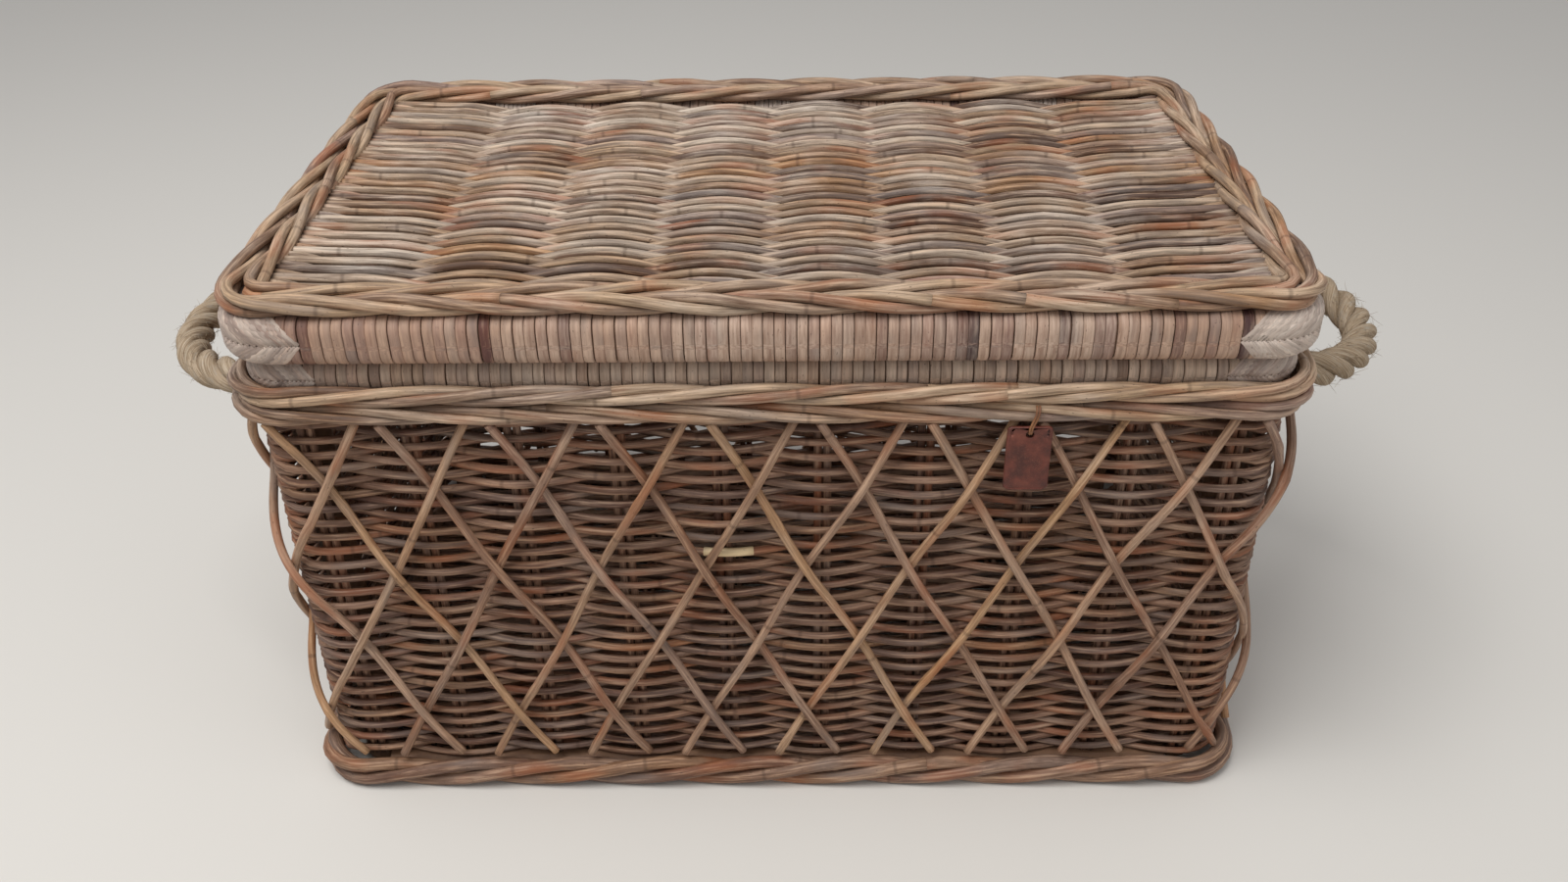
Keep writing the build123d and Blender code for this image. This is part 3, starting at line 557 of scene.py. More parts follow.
ROW_JITTER = 0.45
CALM_ROWS = 8  # rows at the top and bottom that sway less
SHORTEST_STRETCH = 2  # stretches of a row with no more points than this are left out


def eased_run(start, end, first, last, least):
    """Even steps from one stop to the next, and a smooth change from the first value to the last."""
    steps = max(least, round((end - start) / ROW_STEP))
    share = np.arange(steps) / steps
    ease = (1 - np.cos(math.pi * share)) / 2
    return start + share * (end - start), first + ease * (last - first)


def stake_distances():
    """Stakes round the wall, measured from the middle of the front, and whether each is a corner post."""
    found = []
    middle = 0.0
    halves = (wall_loop.straight_x, wall_loop.straight_y)
    for side in range(4):
        for spot in (long_stakes, short_stakes)[side % 2]:
            found.append(((middle + spot) % wall_loop.length, False))
        found.append((middle + halves[side % 2] + wall_loop.arc / 2, True))
        middle += sum(halves) + wall_loop.arc
    found.sort()
    return np.array([spot for spot, _ in found]), np.array([corner for _, corner in found])


stakes, at_corner = stake_distances()


def row_path(row):
    """One woven row all the way round: its points, the stake before each, and its side of each stake."""
    count = len(stakes)
    sign = np.where((np.arange(count) + row) % 2 == 0, 1.0, -1.0)
    sign[at_corner] = 1.0
    bend = sign * np.where(at_corner, CORNER_BEND, WALL_BEND)
    distance, offset, before = [], [], []
    for i in range(count):
        after = (i + 1) % count
        end = stakes[after] + (wall_loop.length if i == count - 1 else 0.0)
        spots, bends = eased_run(stakes[i], end, bend[i], bend[after], 3)
        distance.append(spots)
        offset.append(bends)
        before.append(np.full(len(spots), i))
    distance = np.concatenate(distance)
    pitch = (wall_top - wall_bottom) / WALL_ROWS
    level = wall_bottom + (row + 0.5) * pitch
    lap = 2 * math.pi * distance / wall_loop.length
    edge = min(row, WALL_ROWS - 1 - row, CALM_ROWS) / CALM_ROWS
    slow, quick = ROW_SWAY
    sway = edge * (slow * np.sin(5 * lap + level / 37) + quick * np.sin(9 * lap - level / 23 + 1.0))
    jitter = ROW_JITTER * np.sin(17 * lap + rng.uniform(0, PHASE)) * edge
    offset = np.concatenate(offset)
    points, _ = wall_loop.path(distance, offset, level + sway + jitter)
    toward_back = np.clip(points[:, 1] / corner_y, 0, 1)
    points[:, 2] += edge * BACK_LIFT * toward_back * offset / WALL_BEND
    return points, np.concatenate(before), sign


def weavers(row):
    """The paths of the rods that make up one row; each joint lies behind a stake."""
    points, before, sign = row_path(row)
    count = len(stakes)
    cuts = []
    here = int(rng.integers(0, LONGEST_WEAVER))
    while here < count:
        if sign[here] < 0:
            cuts.append(here)
            here += int(rng.integers(SHORTEST_WEAVER, LONGEST_WEAVER))
        else:
            here += 1
    starts = [int(np.argmax(before == cut)) for cut in cuts]
    total = len(points)
    for start, end in zip(starts, starts[1:] + [starts[0] + total]):
        yield points[np.arange(start, end + 1) % total]


def outside_rope_holes(points):
    """Stretches of a path that keep clear of the rope holes in the side walls."""
    near = np.zeros(len(points), bool)
    for hole in ROPE_PLACES:
        near |= (
            (np.abs(points[:, 1] - hole) < ROPE_HOLE_WIDTH)
            & (np.abs(points[:, 0]) > corner_x)
            & (np.abs(points[:, 2] - handle_height) < ROPE_HOLE_HEIGHT)
        )
    edges = np.flatnonzero(np.diff(np.concatenate([[True], near, [True]]).astype(int)))
    runs = zip(edges[0::2], edges[1::2])
    return [points[start:end] for start, end in runs if end - start > SHORTEST_STRETCH]


def straw_stretch(points):
    """The part of a row on the front that the pale repair lies over."""
    low, high = STRAW_ENDS
    shown = (points[:, 0] > low) & (points[:, 0] < high) & (points[:, 1] < -corner_y)
    return points[shown]


def woven_walls():
    """Five bands of rows, which together take the place of the four panels and their corners."""
    panels = ("woven_front", "woven_back", "woven_left", "woven_right", "woven_corners")
    per_band = WALL_ROWS // len(panels)
    straw = Strands()
    straw_row = int((STRAW_HEIGHT - wall_bottom) / (wall_top - wall_bottom) * WALL_ROWS)
    for band, panel in enumerate(panels):
        strands = Strands()
        for row in range(band * per_band, (band + 1) * per_band):
            radius = WALL_ROD * rng.uniform(0.92, 1.06)
            for weaver in weavers(row):
                tint = rng.uniform(0, 1)
                for stretch in outside_rope_holes(weaver):
                    along = np.arange(len(stretch)) * ROW_STEP
                    strands.rod(stretch, knobbly(along, radius, rise=0.1), tint, sides=7)
                    pale = straw_stretch(stretch)
                    if row == straw_row and len(pale) > SHORTEST_STRETCH:
                        straw.rod(pale, radius * STRAW_SWELL, 0.5, sides=8)
        place(f"wall_rows_{band + 1}", strands, wall_look, "basket", [panel])
    place("straw_weaver", straw, straw_look, "basket", [])


def wall_stakes():
    """Pairs of upright rods that the rows pass on either side."""
    for name, side in (("front", 0), ("right", 1), ("back", 2), ("left", 3)):
        strands = Strands()
        places = long_stakes if side % 2 == 0 else short_stakes
        turn = -math.pi / 2 + side * math.pi / 2
        outward = np.array([math.cos(turn), math.sin(turn), 0.0])
        along = np.array([-outward[1], outward[0], 0.0])
        stand = (half_depth if side % 2 == 0 else half_length) - wall_thickness / 2
        heights = np.linspace(wall_bottom, wall_top, 8)
        for stake in places:
            for gap in (-STAKE_HALF_GAP, STAKE_HALF_GAP):
                path = outward * stand + along * (stake + gap) + heights[:, None] * UP
                strands.rod(path, STAKE_ROD, rng.uniform(0, 0.4), sides=8, up=outward)
        place(f"{name}_stake_pairs", strands, wall_look, "basket", [f"{name}_stakes"])


# Diamond lattice
LATTICE_ROOM = 18.7  # from the middle of a rope to the nearest rod
CORNER_BULGE = (0.0, 1.5)  # how far a rod stands off where it turns a corner
LATTICE_TUCK = 5.0  # the tops run on this far behind the lower wale
LATTICE_DRIFT = 21.9  # how far a rod moves sideways before it is below the rope's hole
LATTICE_WANDER = 1.6  # how far a rod strays from a straight line
BULGE_MIDDLE = 12.0  # past the start of a corner's bend
BULGE_WIDTH = 16.0
LATTICE_STEPS = 72


def lattice_starts(way, pitch):
    """Tops of the rods that slant one way, each moved aside where it would cross a rope hole."""
    first = LATTICE_START if way > 0 else LATTICE_START + LATTICE_SPREAD
    length = outer_loop.length
    holes = [side * length + spot for side in (0.25, 0.75) for spot in ROPE_PLACES]
    for pair in range(LATTICE_PAIRS):
        start = (pair + first) * pitch
        for hole in holes:
            beside = (start - hole + length / 2) % length - length / 2
            if -LATTICE_ROOM - LATTICE_DRIFT < way * beside < LATTICE_ROOM:
                start -= beside + way * (LATTICE_ROOM + LATTICE_DRIFT)
        yield start, start - (pair + first) * pitch


def lattice():
    """Slanting rods round the walls; at each level of crossings the other way lies on top."""
    top = corners_of("lattice_inner_rods")[1][2] - LATTICE_ROD + LATTICE_TUCK
    bottom = corners_of("lattice_inner_rods")[0][2] + LATTICE_ROD
    pitch = outer_loop.length / LATTICE_PAIRS
    slope = LATTICE_SHIFT * pitch
    middle = (LATTICE_OVER + LATTICE_UNDER) / 2
    swing = (LATTICE_OVER - LATTICE_UNDER) / 2
    layers = (("lattice_right", 1, "lattice_inner_rods"), ("lattice_left", -1, "lattice_outer_rods"))
    for name, way, node in layers:
        strands = Strands()
        for start, moved in lattice_starts(way, pitch):
            share = np.linspace(0, 1, LATTICE_STEPS)
            distance = start + way * share * slope
            # Crossings follow each other at every half pitch, the first one half the spread away
            crossing = share * LATTICE_SHIFT * 2 - LATTICE_SPREAD + way * moved / pitch
            wave = -way * np.cos(math.pi * crossing)
            bow = np.sin(math.pi * share) * np.sin(2.3 * math.pi * share + rng.uniform(0, PHASE))
            height = top + share * (bottom - top)
            distance = distance + LATTICE_WANDER * bow
            points, outward = outer_loop.path(distance, middle + swing * wave, height)
            past = np.abs(points[:, :2]) - np.array([corner_x, corner_y]) - BULGE_MIDDLE
            bulge = np.exp(-((past / BULGE_WIDTH) ** 2)).prod(axis=1)
            points[:, :2] += outward * (rng.uniform(*CORNER_BULGE) * bulge)[:, None]
            along = share * math.hypot(slope, top - bottom)
            normal = np.column_stack([outward, np.zeros(len(outward))])
            radius = LATTICE_ROD * rng.uniform(0.9, 1.05)
            strands.rod(points, knobbly(along, radius), rng.uniform(0, 1), sides=8, up=normal)
        place(name, strands, lattice_look, "basket", [node])


# Twisted rows
SHORTEST_TWIST = 45  # steps in the shortest and longest rods of a twisted row
LONGEST_TWIST = 100
TWIST_STEP = 7.0
TWIST_WOBBLE = 0.08


def twisted_row(strands, loop, stand_off, height, hand, period, twist, rod, tall=1.0):
    """Three rods laid round each other all the way round a loop; hand says which way they rise."""
    turns = round(loop.length / period)
    steps = int(loop.length / TWIST_STEP)
    distance = np.arange(steps) / steps * loop.length
    for strand in range(TWIST_RODS):
        angle = hand * (2 * math.pi * turns * distance / loop.length) + 2 * math.pi * strand / TWIST_RODS
        wobble = 1 + TWIST_WOBBLE * np.sin(5 * 2 * math.pi * distance / loop.length + strand)
        beside = stand_off + twist * wobble * np.cos(angle)
        above = height + tall * twist * wobble * np.sin(angle)
        points, _ = loop.path(distance, beside, above)
        radius = knobbly(distance, rod, rise=0.1)
        start = first = int(rng.integers(0, SHORTEST_TWIST))
        while start < first + steps:
            end = min(start + int(rng.integers(SHORTEST_TWIST, LONGEST_TWIST)), first + steps)
            if first + steps - end < SHORTEST_TWIST / 2:
                end = first + steps
            piece = np.arange(start, end + 1) % steps
            strands.rod(points[piece], radius[piece], rng.uniform(0, 1), sides=9)
            start = end


WALE_TWIST = 3.7
WALE_ROD = 3.3
WALE_PERIOD = 200.0
FOOT_TWIST = 3.2
FOOT_ROD = 4.9
FOOT_TALL = 2.3  # the foot's rods lie more above each other than beside


def wales():
    """The two twisted rows under the rim, which twist opposite ways."""
    for name, hand in (("wale_upper", 1), ("wale_lower", -1)):
        low, high = corners_of(name)
        strands = Strands()
        stand_off = high[0] - half_length - (high[2] - low[2]) / 2
        height = (low[2] + high[2]) / 2
        twisted_row(strands, outer_loop, stand_off, height, hand, WALE_PERIOD, WALE_TWIST, WALE_ROD)
        place(f"{name}_twist", strands, border_look, "basket", [name])


def foot_border():
    """The thick twisted row that the hamper stands on."""
    strands = Strands()
    stand_off = (foot_high[1] + foot_low[1]) / -2 - half_depth
    twisted_row(
        strands, outer_loop, stand_off, foot_height / 2, 1, WALE_PERIOD, FOOT_TWIST, FOOT_ROD, FOOT_TALL
    )
    nodes = [f"foot_border_{side}" for side in ("front", "back", "left", "right", "turns")]
    # Painted shade: the foot takes the darker wall look instead of the border look, because it sits in
    # shadow by the floor.
    place("foot_border_twist", strands, wall_look, "basket", nodes)


# Cane wrapping
CANE_WIDTH = 6.9
CANE_THICKNESS = 1.1
BINDING_WIDTH = 3.7
BINDING_SLANT = 0.85  # how far a binding strip runs along the rail for each millimetre up or down
BINDING_SINK = 0.95  # how far a binding strip's underside lies inside the outline of the bound rail
BINDING_REACH = 20.0  # how far a binding runs on past the corner's bend
BINDING_PITCH = 1.25  # widths from one slanting strip to the next, along the outside of the bend
BINDING_RISE = 0.75  # strips slant as far from the seam as this share of the rail's size
BINDING_STOP = 0.6  # the last strip stops short by its slant over this share of the rail's size
SECTION_POINTS = 28
CANE_TILT = 0.35  # how far a turn leans either way
CANE_WIDTHS = (0.93, 1.0)  # shares of the pitch
CANE_TINTS = (0.25, 1.0)
DARK_TINTS = (0.0, 0.3)
DARK_TURNS = 0.1  # share of turns with a dark tint
LASHING_SINK = 0.7  # share of the cane's thickness
# A strip's section: share of its half width, and of its thickness
CANE_SHAPE = np.array([(-1.0, -0.6), (-0.95, 0.7), (-0.7, 1.0), (0.7, 1.0), (0.95, 0.7), (1.0, -0.6)])


def rail_outline(size, edge):
    """Points round a rail's section as (outward, up), with the direction off the surface at each."""
    loop = Loop(size / 2, size / 2, edge)
    # The loop starts at its lowest side; here the start is the middle of the outer side
    return loop.at(loop.length / 4 + np.arange(SECTION_POINTS) / SECTION_POINTS * loop.length)


def cane_turn(strands, place_at, normal_at, width, lift, tint, closed):
    """One turn of cane whose middle passes through the given points."""
    shape = CANE_SHAPE * np.array([width / 2, CANE_THICKNESS])
    strands.strip(place_at + normal_at * lift, shape, tint, closed=closed, up=normal_at)


def wrapped_run(strands, origin, direction, outward, start, end, size, edge, width, lift):
    """Turns of cane side by side along one straight run of a rail."""
    points, normals = rail_outline(size, edge)
    ring = points[:, :1] * outward + points[:, 1:] * UP
    normal = normals[:, :1] * outward + normals[:, 1:] * UP
    count = max(1, round((end - start) / width))
    pitch = (end - start) / count
    lean = np.cos(2 * math.pi * np.arange(SECTION_POINTS) / SECTION_POINTS)
    for turn in range(count):
        middle = start + (turn + 0.5) * pitch
        tilt = rng.uniform(-CANE_TILT, CANE_TILT)
        path = origin + ring + (middle + tilt * lean)[:, None] * direction
        tint = rng.uniform(*(CANE_TINTS if rng.uniform() > DARK_TURNS else DARK_TINTS))
        cane_turn(strands, path, normal, pitch * rng.uniform(*CANE_WIDTHS), lift, tint, True)


SIDES = (("front", -BACK, RIGHT), ("back", BACK, RIGHT), ("left", -RIGHT, BACK), ("right", RIGHT, BACK))
# Half sizes and corner centres are given as x and y; the radius is that of the corners' outside
Rail = namedtuple("Rail", "body half corner radius height size")
rails = {
    "rim": Rail(
        "basket", (half_length, half_depth), (corner_x, corner_y), corner_radius, rim_height, 2 * rim_radius
    ),
    "lid": Rail(
        "lid", (lid_half_x, lid_half_y), (lid_corner_x, lid_corner_y),
        lid_corner_radius, rail_height, rail_size,
    ),
}
hinge_low, hinge_high = corners_of("hinge_knuckles")
HINGE_PLACES = (-220.0, 0.0, 220.0)
LASHING_HALF = 17.0
RAIL_EDGE = 10.0  # rounding of the lid's front and side rails


def stretches(half_run, lashed):
    """Runs of wrapping between the hinge lashings."""
    if not lashed:
        return [(-half_run, half_run)]
    edges = [-half_run]
    for hinge in HINGE_PLACES:
        edges += [hinge - LASHING_HALF, hinge + LASHING_HALF]
    edges.append(half_run)
    return list(zip(edges[0::2], edges[1::2]))


def rail_wraps():
    """Cane round the rim's poles and round the lid's rails."""
    for side, outward, direction in SIDES:
        along = 0 if direction is RIGHT else 1
        for name, rail in rails.items():
            squared = name == "lid" and side != "back"
            edge = RAIL_EDGE if squared else rail.size / 2
            origin = outward * (rail.half[1 - along] - rail.size / 2) + UP * rail.height
            strands = Strands()
            for start, end in stretches(rail.corner[along], side == "back"):
                wrapped_run(
                    strands, origin, direction, outward, start, end,
                    rail.size, edge, CANE_WIDTH, -CANE_THICKNESS,
                )
            look = rim_look if name == "rim" else wrap_look
            place(f"{name}_{side}_cane", strands, look, rail.body, [f"{name}_{side}_wrap"])


def corner_spot(run, outward_reach, centre, bend, mirror):
    """A place on a rail that turns a corner; run is measured along its middle from the bend's start."""
    arc = math.pi / 2 * bend
    angle = np.clip(run / bend, 0, math.pi / 2) - math.pi / 2
    past = np.where(run < 0, run, np.where(run > arc, run - arc, 0.0))
    radial = np.stack([np.cos(angle), np.sin(angle)], axis=1)
    ahead = np.stack([-np.sin(angle), np.cos(angle)], axis=1)
    flat = centre + radial * (bend + outward_reach)[:, None] + ahead * past[:, None]
    return flat * mirror, radial * mirror


def bound_corner(strands, rail, edge, mirror, tints):
    """Narrow strips in a herringbone that meets at mid-height and points along the front or back."""
    size = rail.size
    bend = rail.radius - size / 2
    centre = np.array([rail.corner[0], -rail.corner[1]])
    points, normals = rail_outline(size, edge)
    points = np.vstack([points, points[:1]])
    normals = np.vstack([normals, normals[:1]])
    half = SECTION_POINTS / 2
    from_seam = half - np.abs(np.arange(SECTION_POINTS + 1) - half)
    perimeter = np.linalg.norm(np.diff(points, axis=0), axis=1).sum()
    rise = np.minimum(from_seam / SECTION_POINTS * perimeter, size * BINDING_RISE)
    slant = BINDING_SLANT * rise
    arc = math.pi / 2 * bend
    first = -BINDING_REACH
    last = arc + BINDING_REACH - BINDING_SLANT * size * BINDING_STOP
    count = round((last - first) / (BINDING_WIDTH * bend / (bend + size / 2) * BINDING_PITCH))
    for strip in range(count + 1):
        run = first + (last - first) * strip / count + slant
        flat, radial = corner_spot(run, points[:, 0], centre, bend, mirror)
        path = np.column_stack([flat, rail.height + points[:, 1]])
        normal = np.column_stack([radial * normals[:, :1], normals[:, 1]])
        order = slice(None) if mirror[0] * mirror[1] > 0 else slice(None, None, -1)
        tint = rng.uniform(*tints)
        cane_turn(strands, path[order], normal[order], BINDING_WIDTH, -BINDING_SINK, tint, False)


def corner_bindings():
    """Bound corners of the rim and of the lid."""
    light, dark, rim_tints = (0.35, 1.0), (0.0, 0.65), (0.0, 0.7)
    around = [((sx, sy), rim_tints) for sx, sy in ((1, 1), (-1, 1), (-1, -1), (1, -1))]
    front, back = ([((1, sy), light), ((-1, sy), dark)] for sy in (1, -1))
    for name, rail, edge, corners, node in (
        ("rim_corner_herringbone", rails["rim"], rim_radius, around, "rim_corner_bindings"),
        ("lid_front_herringbone", rails["lid"], RAIL_EDGE, front, "lid_front_corners"),
        ("lid_back_herringbone", rails["lid"], rail_size / 2, back, "lid_back_corners"),
    ):
        strands = Strands()
        for mirror, tints in corners:
            bound_corner(strands, rail, edge, np.array(mirror), tints)
        place(name, strands, binding_look, rail.body, [node])


# Hinges
def hinge_lashings():
    """Turns of cane at each hinge: round the rim, round the lid's back rail, and a twisted core between."""
    lashings = {name: Strands() for name in rails}
    core = Strands()
    hinge_y = (hinge_low[1] + hinge_high[1]) / 2
    hinge_z = (hinge_low[2] + hinge_high[2]) / 2
    core_rod = (hinge_high[2] - hinge_low[2]) / 4
    for hinge in HINGE_PLACES:
        start, end = hinge - LASHING_HALF, hinge + LASHING_HALF
        for name, rail in rails.items():
            radius = rail.size / 2
            origin = BACK * (rail.half[1] - radius) + UP * rail.height
            wrapped_run(
                lashings[name], origin, RIGHT, BACK, start, end,
                rail.size, radius, BINDING_WIDTH, -LASHING_SINK * CANE_THICKNESS,
            )
        share = np.linspace(0, 1, 40)
        for strand in range(TWIST_RODS):
            angle = 2 * math.pi * (2 * share + strand / TWIST_RODS)
            y = hinge_y + core_rod * np.cos(angle)
            z = hinge_z + core_rod * np.sin(angle)
            path = np.column_stack([start + share * (end - start), y, z])
            core.rod(path, core_rod, rng.uniform(0, 1), sides=7)
    for name, strands in lashings.items():
        body = rails[name].body
        place(f"{name}_hinge_cane", strands, binding_look, body, [f"{name}_hinge_lashings"])
    place("hinge_cores", core, lattice_look, "basket", ["hinge_knuckles"])


# Woven top and base
SHEET_SWAY = (0.35, 0.5)  # a row's waves to the front and back
JOINED_ROWS = 0.75  # share of rows made of two rods
POST_GAP = 1.0  # from the base's rows to the corner posts


def woven_sheet(strands, low, high, rib_places, level, pitch, rod, bend, step_corner=None, tuck=(0.0, 0.0)):
    """Rows that run left and right over and under ribs; tuck is how far their ends run on and rise."""
    rows = round((high[1] - low[1]) / pitch)
    pitch = (high[1] - low[1]) / rows
    for row in range(rows):
        y = low[1] + (row + 0.5) * pitch
        reach = high[0] + tuck[0]
        if step_corner and abs(y) > step_corner[1]:
            reach = step_corner[0]
        stops = np.concatenate([[-reach], rib_places, [reach]])
        sign = np.where((np.arange(len(stops)) + row) % 2 == 0, 1.0, -1.0)
        sign[0] = sign[-1] = tuck[1] / bend
        x, z, joints = [], [], []
        for i in range(len(stops) - 1):
            joints.append(sum(len(part) for part in x))
            spots, sides = eased_run(stops[i], stops[i + 1], sign[i], sign[i + 1], 4)
            x.append(spots)
            z.append(bend * sides)
        x = np.append(np.concatenate(x), reach)
        z = np.append(np.concatenate(z), tuck[1])
        phase = rng.uniform(0, PHASE)
        quick, slow = SHEET_SWAY
        sway = quick * np.sin(x / 47 + phase) + slow * np.sin(x / 90 + y / 40)
        path = np.column_stack([x, y + sway, level + z])
        # A rod ends under a rib, where the next one starts
        under = [joint for joint, s in zip(joints[1:-1], sign[1:-2]) if s < 0]
        cut = int(rng.choice(under)) if rng.uniform() < JOINED_ROWS else len(path) - 1
        radius = rod * rng.uniform(0.9, 1.06)
        for part in (path[: cut + 1], path[cut:]):
            if len(part) > SHORTEST_STRETCH:
                along = np.arange(len(part)) * ROW_STEP
                strands.rod(part, knobbly(along, radius, rise=0.1), rng.uniform(0, 1), sides=8)


def rib_pairs(strands, rib_places, half_run, level, rod):
    """Ribs that run front to back, each a pair of rods."""
    y = np.linspace(-half_run, half_run, 8)
    for rib in rib_places:
        for gap in (-STAKE_HALF_GAP, STAKE_HALF_GAP):
            path = np.column_stack([np.full(len(y), rib + gap), y, np.full(len(y), level)])
            strands.rod(path, rod, rng.uniform(0, 0.5), sides=8)


def rib_centres(node, count):
    """Middles of evenly spaced ribs from the box round all of them."""
    low, high = corners_of(node)
    radius = (high[2] - low[2]) / 2
    return np.linspace(low[0] + radius, high[0] - radius, count), (low[2] + high[2]) / 2


BORDER_TWIST = 4.0
BORDER_ROD = 3.5
BORDER_PERIOD = 175.0


def lid_top():
    """Woven top, its ribs, and the two twisted border rows that cover its edge."""
    ribs, level = rib_centres("lid_ribs", 8)
    strands = Strands()
    woven_sheet(
        strands, weave_low, weave_high, ribs, level, LID_ROW_PITCH, LID_ROD, LID_BEND, tuck=LID_TUCK
    )
    place("lid_rows", strands, lid_look, "lid", ["lid_weave"])
    strands = Strands()
    rib_pairs(strands, ribs, weave_high[1], level, RIB_ROD)
    place("lid_rib_pairs", strands, wall_look, "lid", ["lid_ribs"])
    for name, hand in (("lid_border_outer", -1), ("lid_border_inner", 1)):
        low, high = corners_of(name)
        height = (low[2] + high[2]) / 2
        radius = (high[2] - low[2]) / 2
        inset = lid_half_x - high[0] + radius
        loop = Loop(lid_half_x - inset, lid_half_y - inset, lid_corner_radius - inset)
        strands = Strands()
        twisted_row(strands, loop, 0.0, height, hand, BORDER_PERIOD, BORDER_TWIST, BORDER_ROD)
        place(f"{name}_twist", strands, border_look, "lid", [name])


def base():
    """Woven base and its ribs."""
    ribs, level = rib_centres("base_ribs", 8)
    strands = Strands()
    post = corners_of("corner_posts")[1][0] - corner_x
    step = (corner_x - post - POST_GAP, corner_y - post - POST_GAP)
    woven_sheet(strands, base_low, base_high, ribs, level, LID_ROW_PITCH, LID_ROD, BASE_BEND, step)
    place("base_rows", strands, wall_look, "basket", ["base_weave"])
    strands = Strands()
    rib_pairs(strands, ribs, base_high[1], level, BASE_RIB_ROD)
    place("base_rib_pairs", strands, wall_look, "basket", ["base_ribs"])


# Rope handles
HANDLE_ROUTE = [
    (-0.019, 0.105),
    (0.040, 0.105),
    (0.090, 0.076),
    (0.119, 0.026),
    (0.119, -0.026),
    (0.090, -0.076),
    (0.040, -0.105),
    (-0.019, -0.105),
]
HANDLE_TILT = math.radians(9)  # below level
ROPE_RADIUS = 12.5
ROPE_STRANDS = 3
KNOT_LENGTH = 30.0
KNOT_ROPE = 6.6
KNOT_LAY = 36.0
KNOT_REACH = 8.6  # from the knot's middle to its rope, and how far that swings in and out
KNOT_SWING = 3.6
FIBRES = 320


def handle_frame(sign):
    """Origin of a handle's loop in the middle of its wall, and the direction outward, in metres."""
    origin = np.array([sign * (half_length - wall_thickness / 2), 0.0, handle_height]) * MM
    outward = np.array([sign * math.cos(HANDLE_TILT), 0.0, -math.sin(HANDLE_TILT)])
    return origin, outward


def handle_line(sign):
    """Points along the middle of a rope, from a smooth curve through its route, in metres."""
    origin, outward = handle_frame(sign)
    route = [origin + out * outward + along * BACK for out, along in HANDLE_ROUTE]
    data = bpy.data.curves.new("route", "CURVE")
    data.dimensions = "3D"
    data.resolution_u = 24
    spline = data.splines.new("NURBS")
    spline.points.add(len(route) - 1)
    for spot, point in zip(spline.points, route):
        spot.co = (*point, 1.0)
    spline.order_u = 3
    spline.use_endpoint_u = True
    line = add("route", data)
    drawn = bpy.data.meshes.new_from_object(line)
    points = np.array([vertex.co for vertex in drawn.vertices])
    bpy.data.meshes.remove(drawn)
    bpy.data.objects.remove(line)
    bpy.data.curves.remove(data)
    return points


def evenly(points, step):
    """The same line with points a set step apart."""
    reach = reach_along(points)
    spots = np.linspace(0, reach[-1], max(4, round(reach[-1] / step)))
    return np.column_stack([np.interp(spots, reach, points[:, i]) for i in range(3)]), spots


def carried_frames(points, first):
    """Two directions square to a line at each of its points, turned no more than the line itself turns."""
    tangent = unit(np.gradient(points, axis=0))
    side = np.zeros_like(points)
    here = np.asarray(first, float)
    for i, ahead in enumerate(tangent):
        here = unit(here - ahead * (here @ ahead))
        side[i] = here
    return side, np.cross(tangent, side)


def laid_rope(strands, points, radius, lay, first):
    """Three strands laid round a line."""
    strand_radius = radius / (1 + 1 / math.sin(math.pi / ROPE_STRANDS))
    line, along = evenly(points, lay / 26)
    side, other = carried_frames(line, first)
    for strand in range(ROPE_STRANDS):
        angle = 2 * math.pi * (along / lay + strand / ROPE_STRANDS)
        swell = 1 + 0.03 * np.sin(along / 23 + strand)
        off = np.cos(angle)[:, None] * side + np.sin(angle)[:, None] * other
        path = line + off * (radius - strand_radius)
        strands.rod(path, strand_radius * 1.06 * swell, rng.uniform(0, 1), sides=12, up=off)


FIBRE_STEP = 2.0
FIBRE_MARGIN = 32  # steps of the rope at either end that carry no loose fibres
FIBRE_LENGTHS = (5.0, 15.0)
FIBRE_LIFTS = (0.12, 0.45)  # how far a fibre rises, as a share of its length
FIBRE_DRIFT = 0.7
FIBRE_RADII = (0.2, 0.07)  # at its root and its tip
FIBRE_ROOT = 1.0  # how deep it is rooted
FIBRE_POINTS = 5


def loose_fibres(strands, points, first):
    """Short hairs that stand off the rope."""
    line, _ = evenly(points, FIBRE_STEP)
    side, other = carried_frames(line, first)
    for _ in range(FIBRES):
        i = int(rng.integers(FIBRE_MARGIN, len(line) - FIBRE_MARGIN))
        angle = rng.uniform(0, 2 * math.pi)
        out = math.cos(angle) * side[i] + math.sin(angle) * other[i]
        ahead = unit(line[i + 1] - line[i]) * rng.choice((-1, 1))
        drift = np.cross(out, ahead) * rng.uniform(-FIBRE_DRIFT, FIBRE_DRIFT)
        length = rng.uniform(*FIBRE_LENGTHS)
        share = np.linspace(0, 1, FIBRE_POINTS)[:, None]
        lift = rng.uniform(*FIBRE_LIFTS)
        root = line[i] + out * (ROPE_RADIUS - FIBRE_ROOT)
        path = root + length * (share * (ahead + drift) + lift * share**1.6 * out)
        radius = np.linspace(*FIBRE_RADII, FIBRE_POINTS)
        strands.rod(path, radius, rng.uniform(0, 1), sides=3, up=out)


def stopper_knot(strands, centre, axis):
    """An overhand knot pulled tight: a rope that goes twice round and through itself."""
    turn = np.linspace(0, 2 * math.pi, 160)
    wide = KNOT_REACH + KNOT_SWING * np.cos(3 * turn)
    depth = (KNOT_LENGTH / 2 - KNOT_ROPE) * np.sin(3 * turn)
    upright = np.cross(axis, BACK)
    round_axis = np.cos(2 * turn)[:, None] * BACK + np.sin(2 * turn)[:, None] * upright
    points = centre + depth[:, None] * axis + wide[:, None] * round_axis
    laid_rope(strands, points, KNOT_ROPE, KNOT_LAY, axis)


